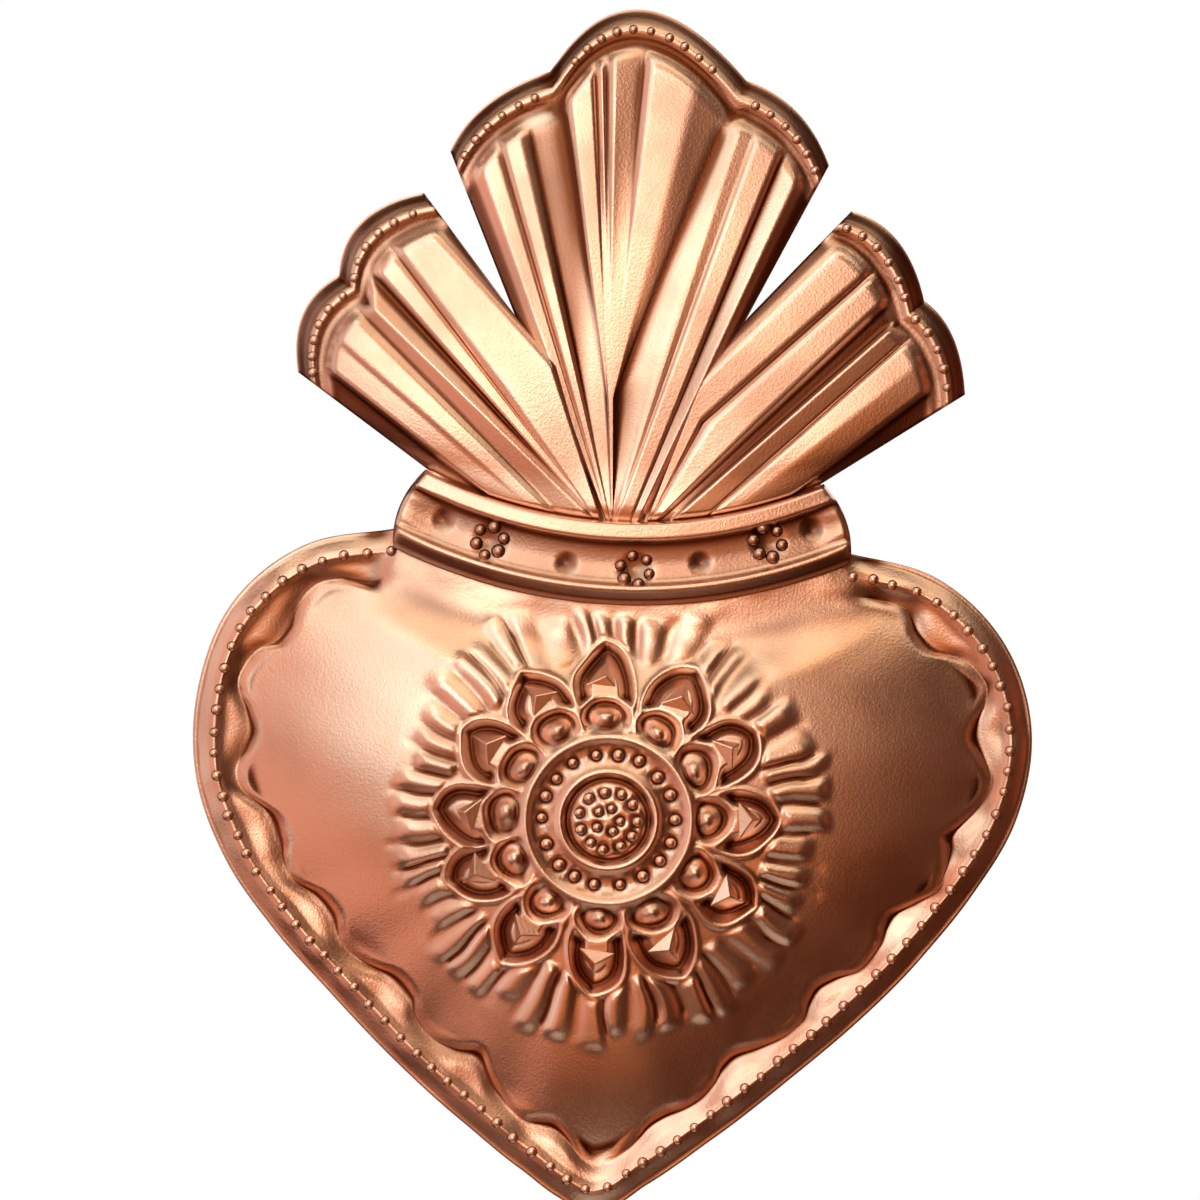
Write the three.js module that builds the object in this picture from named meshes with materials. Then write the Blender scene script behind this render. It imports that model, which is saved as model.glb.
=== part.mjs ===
// Milagro heart: a repousse heart with a flame fan, a collar band and a hanging ring.
// Millimetres, +Z up, front towards -Y, wall plane at y = 0, origin where the nail carries the ring.
import * as THREE from 'three';

// Sheet metal and the clearance between lapped pieces
const SHEET = 0.5;
const SEAT = 0.3;
const WALL_CLEAR = 0.3;

// Hanging ring of round wire
const RING_INNER_RADIUS = 4.5;
const RING_WIRE_RADIUS = 0.7;
const RING_LEAN = THREE.MathUtils.degToRad(3);

// Strap folded round the ring and soldered behind the collar
const STRAP_WIDTH = 3.0;
const STRAP_PLY = 0.5;
const STRAP_PLAY = 0.55;
const STRAP_LEG = 9.0;

// Collar band: an arc that sags like a smile
const BAND_MID_X = 1.2;
const BAND_MID_Z = -16.8;
const BAND_RADIUS = 62.8;
const BAND_TILT = THREE.MathUtils.degToRad(-2.1);
const BAND_HALF_LENGTH = 26.8;
const BAND_END_BULGE = 1.6;
const BAND_BOW = 2.4;
const RAIL_WIDTH = 2.5;
const FLOOR_WIDTH = 5.3;
const LIP_WIDTH = 1.0;
const STEP_WIDTH = 1.7;
const BEND_WIDTH = 0.5;
const RAIL_RISE = 1.2;
const LIP_RISE = 1.0;

// Tabs of the heart and the fan that lap behind the collar, and their solder
const TAB_GAP = 2.8;
const SOLDER_WIDTH = 0.9;
const SOLDER_DEPTH = 0.5;
const SOLDER_SECTION = [[0, 0], [0, 1], [0.6, 0.8], [1, 0.3], [1, 0]];
const SEAM_HALF_LENGTH = 21.0;
const TACK_LENGTH = 2.4;
const TACK_WIDTH = 1.2;

// Heart: rosette centre below the collar, dome and rolled border
const HEART_X = -0.5;
const HEART_DROP = 32.7;
const DOME_HEIGHT = 10.0;
const DOME_POWER = 2.4;
const WALL_RUN = 1.6;
const WALL_RISE = 1.8;
const CROWN_RUN = 11.0;
const CROWN_END_RUN = 3.0;
const CROWN_FLAT = 2.0;
const CROWN_FADE = 4.0;
const CROWN_LAP = 1.0;
const MARGIN_WIDTH = 0.8;
const FLANGE_WIDTH = 1.8;
const ROLL_WIDTH = 3.7;
const ROLL_HEIGHT = 2.0;
const VALLEY_HEIGHT = 0.9;
const SCALLOP_DEPTH = 1.2;
const SCALLOP_REACH = 8;
const TAB_NARROWING = 0.55;
const TAB_FADE = 3.0;
const DOME_LEAST_RUN = 2.4;
const SLANT_LIMIT = 1.4;
const SLOPE_STEP = 0.01;

// Rosette: button, two rings and the dish between them, from the centre outwards
const BUTTON_RADIUS = 4.7;
const BUTTON_RISE = 0.9;
const BUTTON_SHOULDER = 0.7;
const GROOVE_DEPTH = 0.45;
const INNER_RING_WIDTH = 1.2;
const INNER_RING_RISE = 0.5;
const DISH_WIDTH = 4.4;
const DISH_DEPTH = 0.55;
const OUTER_RING_RISE = 0.5;
const OUTER_RING_FALL = 0.9;

// Rosette lobes: a rounded lip, a moat that is open to the outer ring, and a knob in the middle
const LOBE_OFFSET = 2.2;
const LOBE_HALF_DEPTH = 2.9;
const LOBE_HALF_WIDTH = 3.2;
const LOBE_LIP = 0.3;
const LOBE_LIP_SHARE = 0.3;
const LOBE_MOAT = 0.8;
const LOBE_MOAT_SHARE = 0.7;
const LOBE_MOAT_REACH = 0.3;
const LOBE_OPENING = 2.0;
const KNOB_RISE = 0.6;
const KNOB_SHARE = 0.5;

// Rosette petals: a pointed arch with a lip, a moat and a flat flap inside it
const PETAL_DEGREES = [0, 30, 59, 91, 120, 148, 177, 202, 233, 265, 295, 328];
const PETAL_OFFSET = 6.6;
const PETAL_LENGTH = 4.7;
const PETAL_HALF_WIDTH = 3.9;
const PETAL_LIP = 0.35;
const PETAL_LIP_REACH = 0.9;
const PETAL_MOAT = 1.3;
const PETAL_MOAT_INSET = 0.95;
const PETAL_MOAT_REACH = 0.85;
const PETAL_LEAST_STEP = 0.3;
const FLAP_RISE = 0.3;

// Rosette rays beyond the petals
const RAYS_PER_PETAL = 4;
const RAY_LENGTH = 6.8;
const RAY_RISE = 0.7;
const RAY_GROOVE = 0.4;

// Heart outline as points from the rosette centre, anticlockwise from the right
const HEART_OUTLINE = [
  [51.1, 0], [52.9, 11.2], [49.4, 22.0], [41.2, 29.9], [29.8, 33.1], [22.5, 36.0], [0, 40.5],
  [-17.3, 38.9], [-26.3, 36.2], [-37.9, 34.1], [-46.9, 27.0], [-51.2, 16.6], [-51.5, 5.4],
  [-47.8, -5.0], [-41.9, -13.6], [-34.8, -21.7], [-27.0, -29.9], [-18.4, -37.7], [-10.9, -43.9],
  [-6.6, -47.1], [-2.6, -49.1], [0.8, -48.5], [4.8, -45.8], [13.0, -40.1], [22.3, -33.0],
  [30.8, -25.8], [39.2, -17.4], [45.5, -9.7],
];

// Angles where the wavy valley bends furthest inwards
const SCALLOP_DEGREES = [13, 32, 41, 136, 148, 166, 183, 202, 222, 245, 263, 275, 293, 319, 340, 356];

// Flame fan: three leaves with scalloped tips, parted by two V slits
const FAN_TIP_HEIGHT = 1.6;
const FAN_BULGE = 0.4;
const KNEE_SHARE = 0.42;
const FOOT_FADE = 1.0;
const FOOT_RISE = 0.7;
const PLEAT_SPREAD = 0.4;
const LEFT_ROOT = [-12.1, 13.2];
const RIGHT_ROOT = [16.7, 12.7];

// Rim of each flame tip: distance in from the edge and rise there, from the panel out to the edge
const TIP_RIM = [[4.4, -0.3], [2.6, 0.45], [1.6, -0.1], [0, -1.0]];
const PANEL_INSET = 6.4;

// Pleats of each leaf from left to right: share along the tip, foot along the collar and rise
const LEFT_PLEAT_SHARES = [0, 0.085, 0.12, 0.265, 0.41, 0.455, 0.5, 0.62, 0.66, 0.77, 0.805, 0.925, 1];
const LEFT_PLEAT_FEET = [
  -27.3, -19.4, -18.0, -12.5, -10.2, -8.9, -4.2, -3.9, -3.75, -3.6, -3.5, -3.2, -2.4,
];
const LEFT_PLEAT_RISES = [-0.3, 0, 0.95, 1.0, 1.0, 0.4, 1.3, -0.1, 0.85, 0.6, 1.1, 1.05, -0.35];
const CENTRE_PLEAT_SHARES = [
  0, 0.088, 0.165, 0.229, 0.25, 0.307, 0.357, 0.41, 0.43, 0.455, 0.515, 0.53, 0.609, 0.66, 0.69, 0.75,
  0.825, 0.845, 0.92, 1,
];
const CENTRE_PLEAT_FEET = [
  -2.4, -2.25, -2.05, -1.8, -1.75, -1.6, -1.56, -1.53, -1.5, -1.48, -1.45, -1.44, -1.42, -1.4, -1.2,
  -0.8, 0.9, 1.1, 1.9, 3.0,
];
const CENTRE_PLEAT_RISES = [
  -0.35, 0.95, 0.5, 1.0, 0.3, 1.3, 0.7, 0.7, 0.9, 0.9, 0.4, 1.05, 1.25, 0, 0.95, 1.0, 0.95, 0.35,
  0.95, -0.4,
];
const RIGHT_PLEAT_SHARES = [0, 0.105, 0.26, 0.28, 0.3, 0.386, 0.45, 0.5, 0.6, 0.747, 0.87, 0.9, 1];
const RIGHT_PLEAT_FEET = [3.0, 3.25, 3.5, 3.6, 3.75, 4.4, 5.9, 6.8, 11.6, 14.9, 22.7, 23.8, 27.2];
const RIGHT_PLEAT_RISES = [-0.4, 0.95, 0.9, 0.45, 0.95, 1.0, 0.1, 1.3, 0.5, 1.05, 0.9, 0.1, -0.2];

// Each leaf tip as its corner points with one peak between two corners
const LEFT_TIP = [[-39.2, 6.2], [-38.6, 13.5], [-34.1, 18.3], [-31.2, 25.1], [-23.5, 28.6]];
const CENTRE_TIP = [
  [-20.2, 33.8], [-15.5, 39.8], [-7.6, 43.8], [3.5, 51.5], [16.8, 42.6], [23.1, 38.7], [27.1, 32.0],
];
const RIGHT_TIP = [[29.9, 26.3], [35.7, 22.6], [39.0, 15.1], [42.6, 10.6], [44.1, 3.4]];

// Facet counts
const COLUMNS_PER_PETAL = RAYS_PER_PETAL * 2;
const CORE_STEP = 2;
const BAND_STATIONS = 28;
const SEAM_STATIONS = 18;
const RING_STEPS = 28;
const WIRE_SIDES = 8;
const ARC_STEPS = 14;
const TACK_CURVE_STEPS = 5;

// Places of the loops and rows along each stretch of the heart and of a leaf, as shares of its length
const LOBE_SHARES = [0.2, 0.4, 0.6, 0.8];
const PETAL_SHARES = [0, 0.2, 0.38, 0.54, 0.69, 0.84, 1];
const RAY_SHARES = [0.15, 0.5, 0.85, 1];
const DOME_SHARES = [0.35, 0.7, 1];
const LEAF_LOW_SHARES = [0.4, 1];
const LEAF_HIGH_SHARES = [0.5];

// Sizes that follow from the ones above
const ringMeanRadius = RING_INNER_RADIUS + RING_WIRE_RADIUS;
const eyeBore = RING_WIRE_RADIUS + STRAP_PLAY;
const eyeOuter = eyeBore + STRAP_PLY;
const eyeHeight = WALL_CLEAR + eyeOuter;
const eyeZ = -(ringMeanRadius + RING_INNER_RADIUS) * Math.cos(RING_LEAN);
const legFront = eyeHeight + eyeOuter;
const legBack = legFront - 2 * STRAP_PLY;
const tabFront = legFront + SEAT + SHEET;
const bandTop = (RAIL_WIDTH + FLOOR_WIDTH + LIP_WIDTH) / 2;
const bandFoot = -bandTop - STEP_WIDTH;
const fanTabEdge = TAB_GAP / 2;
const heartTabEdge = -TAB_GAP / 2;
const heartZ = BAND_MID_Z - HEART_DROP;
const fullTurn = 2 * Math.PI;

const clamp01 = (value) => Math.min(1, Math.max(0, value));
const mix = (a, b, share) => a + (b - a) * share;
const smooth = (value) => clamp01(value) ** 2 * (3 - 2 * clamp01(value));
const hump = (value) => Math.max(0, 1 - value * value);
const ramp = (value) => Math.max(0, 1 - Math.abs(value));

// Collar arc: a point from its length s along the arc and its distance v above the centre line
const arcCentreX = BAND_MID_X - BAND_RADIUS * Math.sin(BAND_TILT);
const arcCentreZ = BAND_MID_Z + BAND_RADIUS * Math.cos(BAND_TILT);

function arcPoint(s, v) {
  const angle = BAND_TILT + s / BAND_RADIUS;
  const radius = BAND_RADIUS - v;
  return [arcCentreX + radius * Math.sin(angle), arcCentreZ - radius * Math.cos(angle)];
}

function arcPlace(x, z) {
  const dx = x - arcCentreX;
  const dz = z - arcCentreZ;
  const s = (Math.atan2(dx, -dz) - BAND_TILT) * BAND_RADIUS;
  return [s, BAND_RADIUS - Math.hypot(dx, dz)];
}

// Front height of the lapped tabs, highest in the middle of the collar
const tabLevel = (s) => tabFront - BAND_BOW * (s / BAND_HALF_LENGTH) ** 2;

// Closed sheet from a front surface: points are [x, height, z], the back lies one sheet behind
function thicken(points, triangles) {
  const count = points.length;
  const position = [];
  for (const [x, height, z] of points) position.push(x, -height, z);
  for (const [x, height, z] of points) position.push(x, SHEET - height, z);
  const index = [];
  const edges = new Map();
  for (const [a, b, c] of triangles) {
    index.push(a, b, c, a + count, c + count, b + count);
    for (const [from, to] of [[a, b], [b, c], [c, a]]) {
      if (!edges.delete(`${to},${from}`)) edges.set(`${from},${to}`, [from, to]);
    }
  }
  for (const [from, to] of edges.values()) {
    index.push(to, from, from + count, to, from + count, to + count);
  }
  return indexedGeometry(position, index);
}

function indexedGeometry(position, index) {
  const geometry = new THREE.BufferGeometry();
  geometry.setAttribute('position', new THREE.Float32BufferAttribute(position, 3));
  geometry.setIndex(index);
  geometry.computeVertexNormals();
  return geometry;
}

// Closed bar through rings of equal point count, with flat ends
function loft(rings) {
  const sides = rings[0].length;
  const position = rings.flat(2);
  const index = [];
  for (let row = 0; row + 1 < rings.length; row += 1) {
    for (let side = 0; side < sides; side += 1) {
      const a = row * sides + side;
      const b = row * sides + ((side + 1) % sides);
      index.push(a, b, b + sides, a, b + sides, a + sides);
    }
  }
  const last = (rings.length - 1) * sides;
  for (let side = 1; side + 1 < sides; side += 1) {
    index.push(0, side + 1, side, last, last + side, last + side + 1);
  }
  return indexedGeometry(position, index);
}

// Two triangles of a quad whose corners run anticlockwise seen from the front
const quad = (a, b, c, d) => [[a, b, c], [a, c, d]];

// Smooth closed radius through the outline points
const wrap = (angle) => THREE.MathUtils.euclideanModulo(angle, fullTurn);
const outlinePolar = HEART_OUTLINE.map(([x, z]) => [wrap(Math.atan2(z, x)), Math.hypot(x, z)]);

function outlineRadius(angle) {
  const count = outlinePolar.length;
  const turned = wrap(angle);
  let start = count - 1;
  while (outlinePolar[start][0] > turned) start -= 1;
  const point = (step) => {
    const place = start + step;
    const [turn, radius] = outlinePolar[THREE.MathUtils.euclideanModulo(place, count)];
    return [turn + fullTurn * Math.floor(place / count), radius];
  };
  const [[a0, r0], [a1, r1], [a2, r2], [a3, r3]] = [point(-1), point(0), point(1), point(2)];
  const t = (turned - a1) / (a2 - a1);
  const slope1 = ((r2 - r0) / (a2 - a0)) * (a2 - a1);
  const slope2 = ((r3 - r1) / (a3 - a1)) * (a2 - a1);
  const bend = 2 * (r1 - r2) + slope1 + slope2;
  return r1 + t * (slope1 + t * (r2 - r1 - slope1 - bend + t * bend));
}

// Distance from the rosette centre to the heart's tab edge behind the collar
function tabRadius(angle) {
  const ex = Math.cos(angle);
  const ez = Math.sin(angle);
  const along = (arcCentreX - HEART_X) * ex + (arcCentreZ - heartZ) * ez;
  const across = (arcCentreX - HEART_X) * ez - (arcCentreZ - heartZ) * ex;
  const reach = (BAND_RADIUS - heartTabEdge) ** 2 - across ** 2;
  return ez > 0 && reach > 0 ? along - Math.sqrt(reach) : Infinity;
}

// Wave of the valley line: 1 at each inward lobe and -1 half way to the next
const scallopTurns = SCALLOP_DEGREES.map(THREE.MathUtils.degToRad);

function scallopWave(angle) {
  const turns = [scallopTurns.at(-1) - fullTurn, ...scallopTurns, scallopTurns[0] + fullTurn];
  const next = turns.findIndex((turn) => turn > angle);
  return Math.cos((fullTurn * (angle - turns[next - 1])) / (turns[next] - turns[next - 1]));
}

// Radii of one column of the heart, from the outline inwards
function heartColumn(angle) {
  const free = outlineRadius(angle);
  const edge = Math.min(free, tabRadius(angle));
  const tab = clamp01((free - edge) / TAB_FADE);
  const ahead = outlineRadius(angle + SLOPE_STEP);
  const slope = (ahead - outlineRadius(angle - SLOPE_STEP)) / (2 * SLOPE_STEP);
  const slant = Math.min(SLANT_LIMIT, Math.hypot(1, slope / free));
  const inset = (width) => edge - width * slant * (1 - TAB_NARROWING * tab);
  const valley = inset(MARGIN_WIDTH + FLANGE_WIDTH + ROLL_WIDTH);
  const scallop = valley - SCALLOP_DEPTH * slant * scallopWave(angle) * (1 - tab);
  const wall = scallop - WALL_RUN * slant;
  return {
    angle,
    edge,
    margin: inset(MARGIN_WIDTH),
    roll: inset(MARGIN_WIDTH + FLANGE_WIDTH),
    scallop,
    wall,
    plainWall: valley - WALL_RUN * slant,
    rayEnd: Math.min(rayEnd, wall - DOME_LEAST_RUN),
  };
}

// Rosette radii, each one added to the last
const innerRing = BUTTON_RADIUS + INNER_RING_WIDTH;
const outerRing = innerRing + DISH_WIDTH;
const lobeMid = outerRing + LOBE_OFFSET;
const lobeEnd = lobeMid + LOBE_HALF_DEPTH;
const petalMid = outerRing + PETAL_OFFSET;
const petalEnd = petalMid + PETAL_LENGTH;
const rayStart = petalEnd + PETAL_LIP_REACH;
const rayEnd = petalEnd + RAY_LENGTH;

// Two arcs that meet in a point outline a petal
const archOffset = (PETAL_LENGTH ** 2 - PETAL_HALF_WIDTH ** 2) / (2 * PETAL_HALF_WIDTH);
const archRadius = archOffset + PETAL_HALF_WIDTH;
const archHalfWidth = (radius) => Math.sqrt(archRadius ** 2 - (radius - petalMid) ** 2) - archOffset;

// Turned rings of the rosette as radius and rise above the dome
const ROSETTE_RINGS = [
  [0, BUTTON_RISE], [BUTTON_RADIUS / 2, BUTTON_RISE * BUTTON_SHOULDER], [BUTTON_RADIUS, -GROOVE_DEPTH],
  [innerRing, INNER_RING_RISE], [innerRing + DISH_WIDTH / 2, -DISH_DEPTH],
  [outerRing, OUTER_RING_RISE], [outerRing + OUTER_RING_FALL, 0],
];

function ringRise(radius) {
  for (let row = 1; row < ROSETTE_RINGS.length; row += 1) {
    const [inner, low] = ROSETTE_RINGS[row - 1];
    const [outer, high] = ROSETTE_RINGS[row];
    if (radius <= outer) return mix(low, high, (radius - inner) / (outer - inner));
  }
  return 0;
}

// Rise of a lobe and of the petal behind it, at a place along and across the petal's own line
function petalRise(along, across) {
  const lobe = Math.hypot((along - lobeMid) / LOBE_HALF_DEPTH, across / LOBE_HALF_WIDTH);
  const lobeMoat = LOBE_MOAT * ramp((lobe - LOBE_MOAT_SHARE) / LOBE_MOAT_REACH);
  const lobeRise = LOBE_LIP * hump((lobe - 1) / LOBE_LIP_SHARE) + KNOB_RISE * hump(lobe / KNOB_SHARE)
    - lobeMoat * smooth((along - outerRing) / LOBE_OPENING);
  if (lobe < 1) return lobeRise;
  const inside = archRadius - Math.hypot(Math.abs(across) + archOffset, along - petalMid);
  const moat = (inside - PETAL_MOAT_INSET) / PETAL_MOAT_REACH;
  const lip = PETAL_LIP * hump(inside / PETAL_LIP_REACH);
  const arch = lip - PETAL_MOAT * ramp(moat) + FLAP_RISE * clamp01(moat);
  return lobeRise + arch * smooth((lobe - 1) / LOBE_LIP_SHARE);
}

function rosetteRise(radius, angle, column) {
  const turn = angle - column.petalTurn;
  const ray = column.onRay ? RAY_RISE : -RAY_GROOVE;
  const rayShare = (radius - rayStart) / (column.rayEnd - rayStart);
  const petal = radius > outerRing ? petalRise(radius * Math.cos(turn), radius * Math.sin(turn)) : 0;
  return ringRise(radius) + petal + ray * hump(2 * rayShare - 1);
}

// Front height of the heart: rosette on a dome, wavy valley, rolled border and flat margin
function heartHeight(radius, angle, column) {
  let free = SHEET;
  const wallTop = VALLEY_HEIGHT + WALL_RISE;
  if (radius <= column.wall) {
    const foot = mix(column.plainWall, column.wall, (radius / column.wall) ** SCALLOP_REACH);
    const dome = 1 - (radius / foot) ** DOME_POWER;
    free = mix(wallTop, DOME_HEIGHT, dome) + rosetteRise(radius, angle, column);
  } else if (radius <= column.scallop) {
    free = mix(VALLEY_HEIGHT, wallTop, (column.scallop - radius) / (column.scallop - column.wall));
  } else if (radius <= column.roll) {
    free = mix(ROLL_HEIGHT, VALLEY_HEIGHT, (column.roll - radius) / (column.roll - column.scallop));
  } else if (radius < column.margin) {
    free = mix(SHEET, ROLL_HEIGHT, (column.margin - radius) / (column.margin - column.roll));
  }
  const x = HEART_X + radius * Math.cos(angle);
  const z = heartZ + radius * Math.sin(angle);
  const [s, v] = arcPlace(x, z);
  const level = tabLevel(s);
  const below = bandFoot - CROWN_FLAT - v;
  const run = mix(CROWN_RUN, CROWN_END_RUN, clamp01(Math.abs(s) / BAND_HALF_LENGTH) ** 2);
  const crowned = mix(level, free, smooth(below / run));
  const beside = smooth((Math.abs(s) - BAND_HALF_LENGTH + CROWN_LAP) / CROWN_FADE);
  return mix(crowned, free, beside);
}

// Columns of the heart, the same number from each petal to the next
function heartColumns() {
  const turns = PETAL_DEGREES.map(THREE.MathUtils.degToRad);
  const ends = [...turns.slice(1), turns[0] + fullTurn];
  return turns.flatMap((turn, petal) => Array.from({ length: COLUMNS_PER_PETAL }, (_, step) => {
    const share = step / COLUMNS_PER_PETAL;
    const before = share <= 1 / 2;
    return {
      ...heartColumn(mix(turn, ends[petal], share)),
      petalTurn: before ? turn : ends[petal],
      petalStep: before ? step : step - COLUMNS_PER_PETAL,
      onRay: step % 2 === 0,
    };
  }));
}

// Angle of a column that follows the petal's arch: its line, flap, moat and lip, and the gap between petals
function archAngle(radius, column) {
  const place = Math.abs(column.petalStep);
  const insets = [0, PETAL_MOAT_INSET + PETAL_MOAT_REACH, PETAL_MOAT_INSET, 0];
  if (place === 0 || place === insets.length) return column.angle;
  const across = Math.max(place * PETAL_LEAST_STEP, archHalfWidth(radius) - insets[place]);
  return column.petalTurn + (Math.sign(column.petalStep) * across) / radius;
}

// Heart sheet: loops about the rosette centre, with half the columns inside the lobes
function heartSheet() {
  const columns = heartColumns();
  const straight = (column) => column.angle;
  const loops = [];
  const add = (radius, angle = straight, step = 1) => loops.push({ radius, angle, step });
  const coreLoops = [
    BUTTON_RADIUS / 2, BUTTON_RADIUS, innerRing, innerRing + DISH_WIDTH / 2, outerRing,
  ];
  for (const reach of coreLoops) add(() => reach, straight, CORE_STEP);
  for (const share of LOBE_SHARES) add(() => mix(outerRing, lobeEnd, share));
  for (const share of PETAL_SHARES) {
    const reach = mix(lobeEnd, petalEnd, share);
    add(() => reach, (column) => archAngle(reach, column));
  }
  for (const share of RAY_SHARES) add((column) => mix(rayStart, column.rayEnd, share));
  for (const share of DOME_SHARES) add((column) => mix(column.rayEnd, column.wall, share));
  for (const key of ['scallop', 'roll', 'margin', 'edge']) add((column) => column[key]);

  const points = [[HEART_X, heartHeight(0, 0, columns[0]), heartZ]];
  const triangles = [];
  let inner = null;
  for (const { radius, angle, step } of loops) {
    const start = points.length;
    const ring = [];
    for (let place = 0; place < columns.length; place += step) {
      const column = columns[place];
      const reach = radius(column);
      const turn = angle(column);
      ring.push(points.length);
      points.push([
        HEART_X + reach * Math.cos(turn),
        heartHeight(reach, turn, column),
        heartZ + reach * Math.sin(turn),
      ]);
    }
    const count = ring.length;
    for (let place = 0; place < count; place += 1) {
      const a = start + place;
      const b = start + ((place + 1) % count);
      if (!inner) {
        triangles.push([0, a, b]);
      } else if (inner.length === count) {
        triangles.push(...quad(inner[place], a, b, inner[(place + 1) % count]));
      } else {
        const half = inner[Math.floor(place / 2)];
        const next = inner[Math.floor(place / 2 + 1) % inner.length];
        triangles.push([place % 2 ? next : half, a, b]);
        if (place % 2 === 0) triangles.push([half, b, next]);
      }
    }
    inner = ring;
  }
  return thicken(points, triangles);
}

// Collar band: rail, sunk floor and lip on one strip, with a step down to the heart
function collarBand() {
  const railFoot = bandTop - RAIL_WIDTH;
  const lipTop = railFoot - FLOOR_WIDTH;
  const profile = [
    [bandTop, 0], [bandTop - BEND_WIDTH, RAIL_RISE], [railFoot + BEND_WIDTH, RAIL_RISE], [railFoot, 0],
    [(railFoot + lipTop) / 2, 0], [lipTop, 0], [(lipTop - bandTop) / 2, LIP_RISE],
    [-bandTop, LIP_RISE / 2], [bandFoot, 0],
  ];
  const points = [];
  const triangles = [];
  for (let station = 0; station <= BAND_STATIONS; station += 1) {
    const share = (2 * station) / BAND_STATIONS - 1;
    for (const [v, rise] of profile) {
      const length = BAND_HALF_LENGTH + BAND_END_BULGE * hump(v / bandFoot);
      const s = share * length;
      const [x, z] = arcPoint(s, v);
      points.push([x, tabLevel(s) + SEAT + SHEET + rise, z]);
    }
  }
  const rows = profile.length;
  for (let station = 0; station < BAND_STATIONS; station += 1) {
    for (let row = 0; row + 1 < rows; row += 1) {
      const a = station * rows + row;
      triangles.push(...quad(a, a + 1, a + rows + 1, a + rows));
    }
  }
  return thicken(points, triangles);
}

// Point on a scalloped tip: corners at even places, a peak between each two corners
function tipPoint(tip, share) {
  const lobes = (tip.length - 1) / 2;
  const lobe = Math.min(lobes - 1, Math.floor(share * lobes));
  const t = share * lobes - lobe;
  const [from, peak, to] = tip.slice(2 * lobe, 2 * lobe + 3);
  const along = (axis) => {
    const pull = 2 * peak[axis] - (from[axis] + to[axis]) / 2;
    return (1 - t) ** 2 * from[axis] + 2 * t * (1 - t) * pull + t ** 2 * to[axis];
  };
  return [along(0), along(1)];
}

// Leaves of the fan from left to right, with the slit roots on their sides
const LEAVES = [
  {
    tip: LEFT_TIP, roots: [null, LEFT_ROOT],
    shares: LEFT_PLEAT_SHARES, feet: LEFT_PLEAT_FEET, rises: LEFT_PLEAT_RISES,
  },
  {
    tip: CENTRE_TIP, roots: [LEFT_ROOT, RIGHT_ROOT],
    shares: CENTRE_PLEAT_SHARES, feet: CENTRE_PLEAT_FEET, rises: CENTRE_PLEAT_RISES,
  },
  {
    tip: RIGHT_TIP, roots: [RIGHT_ROOT, null],
    shares: RIGHT_PLEAT_SHARES, feet: RIGHT_PLEAT_FEET, rises: RIGHT_PLEAT_RISES,
  },
];

// Points of one pleat of a leaf, from the tab edge behind the collar to the flame tip
function pleatColumn(leaf, place) {
  const last = leaf.shares.length - 1;
  const onSide = place === 0 || place === last;
  const s = leaf.feet[place];
  const level = tabLevel(s);
  const between = (from, to, share) => [0, 1].map((axis) => mix(from[axis], to[axis], share));
  const foot = arcPoint(s, bandTop + SEAT);
  const tip = tipPoint(leaf.tip, leaf.shares[place]);
  const root = onSide ? leaf.roots[place / last] : null;
  const knee = root ?? between(foot, tip, KNEE_SHARE);
  const lowLength = Math.hypot(knee[0] - foot[0], knee[1] - foot[1]);
  const highLength = Math.hypot(tip[0] - knee[0], tip[1] - knee[1]);

  const column = [];
  const put = ([x, z], share, rise) => {
    const bulge = FAN_BULGE * Math.sin(Math.PI * share);
    column.push([x, mix(level, FAN_TIP_HEIGHT, share ** 2) + bulge + rise, z]);
  };
  const pleat = (share) => {
    const footRise = onSide ? leaf.rises[place] : FOOT_RISE;
    return mix(footRise, leaf.rises[place], smooth(share / PLEAT_SPREAD));
  };
  put(arcPoint(s, fanTabEdge), 0, 0);
  put(foot, 0, 0);
  for (const part of [FOOT_FADE / lowLength, ...LEAF_LOW_SHARES]) {
    const share = part * KNEE_SHARE;
    put(between(foot, knee, part), share, pleat(share));
  }
  const high = (part, rise) => put(between(knee, tip, part), mix(KNEE_SHARE, 1, part), rise);
  const panelPart = 1 - PANEL_INSET / highLength;
  for (const part of LEAF_HIGH_SHARES) high(part * panelPart, leaf.rises[place]);
  high(panelPart, leaf.rises[place]);
  for (const [inset, rise] of TIP_RIM) high(1 - inset / highLength, rise);
  return column;
}

// Flame fan: pleats joined up to the slit roots and parted above them
function flameFan() {
  const kneeRow = 2 + LEAF_LOW_SHARES.length;
  const points = [];
  const triangles = [];
  let shared = null;
  for (const leaf of LEAVES) {
    let before = null;
    for (let place = 0; place < leaf.shares.length; place += 1) {
      const here = pleatColumn(leaf, place).map((point, row) => {
        if (place === 0 && shared && row <= kneeRow) return shared[row];
        points.push(point);
        return points.length - 1;
      });
      for (let row = 0; before && row + 1 < here.length; row += 1) {
        triangles.push(...quad(before[row], here[row], here[row + 1], before[row + 1]));
      }
      before = here;
    }
    shared = before;
  }
  return thicken(points, triangles);
}

// Solder fillet in the corner between a tab edge and the back of the collar
function solderSeam(start, end) {
  const rings = [];
  const order = Math.sign(end - start);
  for (let station = 0; station <= SEAM_STATIONS; station += 1) {
    const s = order * mix(-SEAM_HALF_LENGTH, SEAM_HALF_LENGTH, station / SEAM_STATIONS);
    const top = tabLevel(s);
    rings.push(SOLDER_SECTION.map(([along, depth]) => {
      const [x, z] = arcPoint(s, mix(start, end, along));
      return [x, depth * SOLDER_DEPTH - top, z];
    }));
  }
  return loft(rings);
}

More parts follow.
